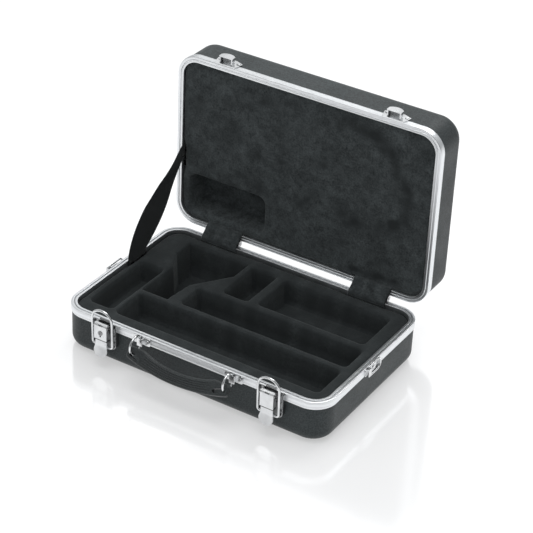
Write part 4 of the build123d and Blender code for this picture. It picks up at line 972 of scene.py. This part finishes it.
def lever_with_painted_groove_shade(base):
    """Satin nickel with painted shade within a millimetre of the groove under the lever's face plate."""
    finish = plated_finish("satin_nickel", base, 0.38, 0.92)
    split = finish.node("ShaderNodeSeparateXYZ")
    finish.links.new(finish.place, split.inputs[0])
    # Painted shade: the colour goes nearly black in the groove under the face plate.
    groove = (BASE_TOP - LEVER_GROOVE_DROP) * MM
    away = finish.math("ABSOLUTE", finish.math("SUBTRACT", split.outputs[2], groove), 0)
    clear = finish.ramp(away, 0, 1, 0.0010, 0.0013)
    mix = finish.shader.inputs["Base Color"].links[0].from_node
    tone = finish.nodes.new("ShaderNodeMix")
    tone.data_type = "RGBA"
    tone.inputs[COLOUR_A].default_value = (*shade(base, 0.05), 1)
    finish.links.new(mix.outputs[COLOUR_MIXED], tone.inputs[COLOUR_B])
    finish.links.new(clear, tone.inputs[0])
    finish.links.new(tone.outputs[COLOUR_MIXED], finish.shader.inputs["Base Color"])
    return finish


class CASE_OT_fittings(bpy.types.Operator):
    """Finishes of the latches, catches, rings, brackets, hinges, pins and rivets"""

    bl_idname = "case.fittings"
    bl_label = "Fittings"

    def execute(self, context):
        settings = context.scene.case.plating
        chrome = plated_finish("bright_chrome", settings.chrome, 0.12)
        pressed = plated_finish("pressed_chrome", settings.chrome, 0.2)
        # The latch plates' chrome is made darker: a painted dark reflection.
        painted_dark_plate = plated_finish("latch_plate_chrome", shade(settings.chrome, 0.42), 0.18)
        satin = lever_with_painted_groove_shade(settings.satin)
        steel = plated_finish("hinge_steel", settings.steel, 0.34)
        dark = plated_finish("lock_steel", shade(settings.steel, 0.55), 0.3)
        black = plated_finish("black_rivet", (0.02, 0.02, 0.02), 0.5)
        wanted = (
            (chrome, ("latch_bail", "handle_ring", "side_ring")),
            (pressed, ("catch", "handle_bracket", "side_bracket", "latch_rivets")),
            (painted_dark_plate, ("latch_plate",)),
            (satin, ("latch_lever",)),
            (steel, ("hinge_base_leaf", "hinge_lid_leaf", "hinge_rivets", "hinge_pins", "latch_pins")),
            (dark, ("lock_plug",)),
            (black, ("strap_rivets",)),
        )
        for finish, starts in wanted:
            for name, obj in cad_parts.items():
                if name.startswith(starts):
                    dress(obj, finish)
        return {"FINISHED"}


# ---------------------------------------------------------------- stage
# The camera's place in metres, its turns in degrees and its focal length in pixels.
CAMERA_PLACE = (0.995729, -1.616686, 1.306675)
CAMERA_HEADING = 30.87
CAMERA_TILT = 57.938
CAMERA_ROLL = 2.737
FOCAL_PIXELS = 1925.265
PICTURE_PIXELS = 533
# Name, width and place of each lamp, and the point that they face, in metres.
LAMPS = (
    ("key", 1.6, (-0.1, -0.3, 2.5)),
    ("back", 1.6, (-0.7, 1.7, 1.6)),
    ("rim", 1.2, (0.1, 1.5, 2.2)),
)
LAMP_TARGET = (0, 0, 0.1)
# Half the floor's side in millimetres, and its added light where it is seen and where it is mirrored.
FLOOR_REACH = 6000
FLOOR_SEEN = 0.44
FLOOR_MIRRORED = 0.5


class CASE_OT_stage(bpy.types.Operator):
    """Floor, surrounding light, soft lamps and camera"""

    bl_idname = "case.stage"
    bl_label = "Stage"

    def execute(self, context):
        settings = context.scene.case.stage
        camera_data = bpy.data.cameras.new("camera")
        camera = bpy.data.objects.new("camera", camera_data)
        context.scene.collection.objects.link(camera)
        camera_data.lens = FOCAL_PIXELS / PICTURE_PIXELS * camera_data.sensor_width
        camera_data.clip_end = 20
        camera.matrix_world = (
            Matrix.Translation(CAMERA_PLACE)
            @ Matrix.Rotation(radians(CAMERA_HEADING), 4, "Z")
            @ Matrix.Rotation(radians(CAMERA_TILT), 4, "X")
            @ Matrix.Rotation(radians(CAMERA_ROLL), 4, "Z")
        )
        context.scene.camera = camera
        self.build_floor(settings)
        self.build_world(context, settings)
        for name, size, place in LAMPS:
            self.add_lamp(context, name, getattr(settings, name), size, place)
        context.scene.view_settings.view_transform = "Standard"
        return {"FINISHED"}

    def build_floor(self, settings):
        """Wide pale floor; what is seen of it is lifted to white where no shadow falls."""
        line = np.linspace(-FLOOR_REACH, FLOOR_REACH, 9)
        x, y = np.meshgrid(line, line, indexing="ij")
        floor = surface("floor", np.stack([x, y, 0 * x], axis=-1))
        finish = Finish("floor_paper", settings.floor, 0.12)
        finish.set("IOR", 2.9)
        lift = finish.nodes.new("ShaderNodeEmission")
        lift.inputs["Color"].default_value = (1, 1, 1, 1)
        path = finish.nodes.new("ShaderNodeLightPath").outputs
        seen = finish.math("MULTIPLY", path["Is Camera Ray"], FLOOR_SEEN)
        mirrored = finish.math("MULTIPLY", path["Is Glossy Ray"], FLOOR_MIRRORED)
        strength = finish.math("ADD", seen, mirrored)
        finish.links.new(strength, lift.inputs["Strength"])
        both = finish.nodes.new("ShaderNodeAddShader")
        finish.links.new(finish.shader.outputs[0], both.inputs[0])
        finish.links.new(lift.outputs[0], both.inputs[1])
        output = next(n for n in finish.nodes if n.type == "OUTPUT_MATERIAL")
        finish.links.new(both.outputs[0], output.inputs["Surface"])
        dress(floor, finish)

    def build_world(self, context, settings):
        """Surrounding light: white where it is seen directly, and even for rough surfaces.

        Reflections see it rise from dim, low in front, to bright, high behind.
        """
        world = bpy.data.worlds.new("surroundings")
        world.use_nodes = True
        nodes, links = world.node_tree.nodes, world.node_tree.links
        background = nodes["Background"]
        background.inputs["Color"].default_value = (0.97, 0.99, 1, 1)
        path = nodes.new("ShaderNodeLightPath")
        direction = nodes.new("ShaderNodeTexCoord").outputs["Generated"]
        rise = nodes.new("ShaderNodeVectorMath")
        rise.operation = "DOT_PRODUCT"
        rise.inputs[1].default_value = (-0.25, 0.45, 0.85)
        links.new(direction, rise.inputs[0])
        mirrored = nodes.new("ShaderNodeMapRange")
        mirrored.interpolation_type = "SMOOTHSTEP"
        ends = {"From Min": -0.35, "From Max": 0.8, "To Min": 0.12, "To Max": settings.mirrored}
        for key, value in ends.items():
            mirrored.inputs[key].default_value = value
        links.new(rise.outputs["Value"], mirrored.inputs["Value"])
        strength = settings.sky
        for ray, seen in (("Is Glossy Ray", mirrored.outputs["Result"]), ("Is Camera Ray", 1.0)):
            blend = nodes.new("ShaderNodeMapRange")
            links.new(path.outputs[ray], blend.inputs["Value"])
            for key, value in (("To Min", strength), ("To Max", seen)):
                if isinstance(value, float):
                    blend.inputs[key].default_value = value
                else:
                    links.new(value, blend.inputs[key])
            strength = blend.outputs["Result"]
        links.new(strength, background.inputs["Strength"])
        context.scene.world = world

    def add_lamp(self, context, name, power, size, place):
        """Square soft lamp turned towards the middle of the case."""
        lamp = bpy.data.lights.new(name, "AREA")
        lamp.energy = power
        lamp.size = size
        obj = bpy.data.objects.new(name, lamp)
        obj.location = place
        obj.rotation_euler = (Vector(place) - Vector(LAMP_TARGET)).to_track_quat("Z", "Y").to_euler()
        context.scene.collection.objects.link(obj)


# ---------------------------------------------------------------- panel and registration
STEPS = ("shells", "frames", "plush", "strap", "flaps", "grip", "fittings", "stage")


class CASE_PT_panel(bpy.types.Panel):
    """Sidebar panel with the case's pieces and their sizes and colours"""

    bl_idname = "CASE_PT_panel"
    bl_label = "Clarinet Case"
    bl_space_type = "VIEW_3D"
    bl_region_type = "UI"
    bl_category = "Clarinet Case"

    def draw(self, context):
        settings = context.scene.case
        for step in STEPS:
            self.layout.operator(f"case.{step}")
        for group in ("frames", "plush", "webbing", "shell", "plating", "stage"):
            box = self.layout.box()
            box.label(text=group.title())
            values = getattr(settings, group)
            for key in values.bl_rna.properties.keys():
                if key not in ("rna_type", "name"):
                    box.prop(values, key)


CLASSES = (
    CASE_PG_frames, CASE_PG_plush, CASE_PG_webbing, CASE_PG_shell, CASE_PG_plating, CASE_PG_stage,
    CASE_PG_settings,
    CASE_OT_shells, CASE_OT_frames, CASE_OT_plush, CASE_OT_strap, CASE_OT_flaps, CASE_OT_grip,
    CASE_OT_fittings, CASE_OT_stage, CASE_PT_panel,
)


def register():
    """Add the classes and the scene's settings."""
    for item in CLASSES:
        bpy.utils.register_class(item)
    bpy.types.Scene.case = PointerProperty(type=CASE_PG_settings)


def unregister():
    """Take the settings and the classes away again."""
    del bpy.types.Scene.case
    for item in reversed(CLASSES):
        bpy.utils.unregister_class(item)


def main():
    """Dress the case in steps."""
    register()
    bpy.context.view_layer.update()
    for step in STEPS:
        getattr(bpy.ops.case, step)()


if __name__ == "__main__":
    main()
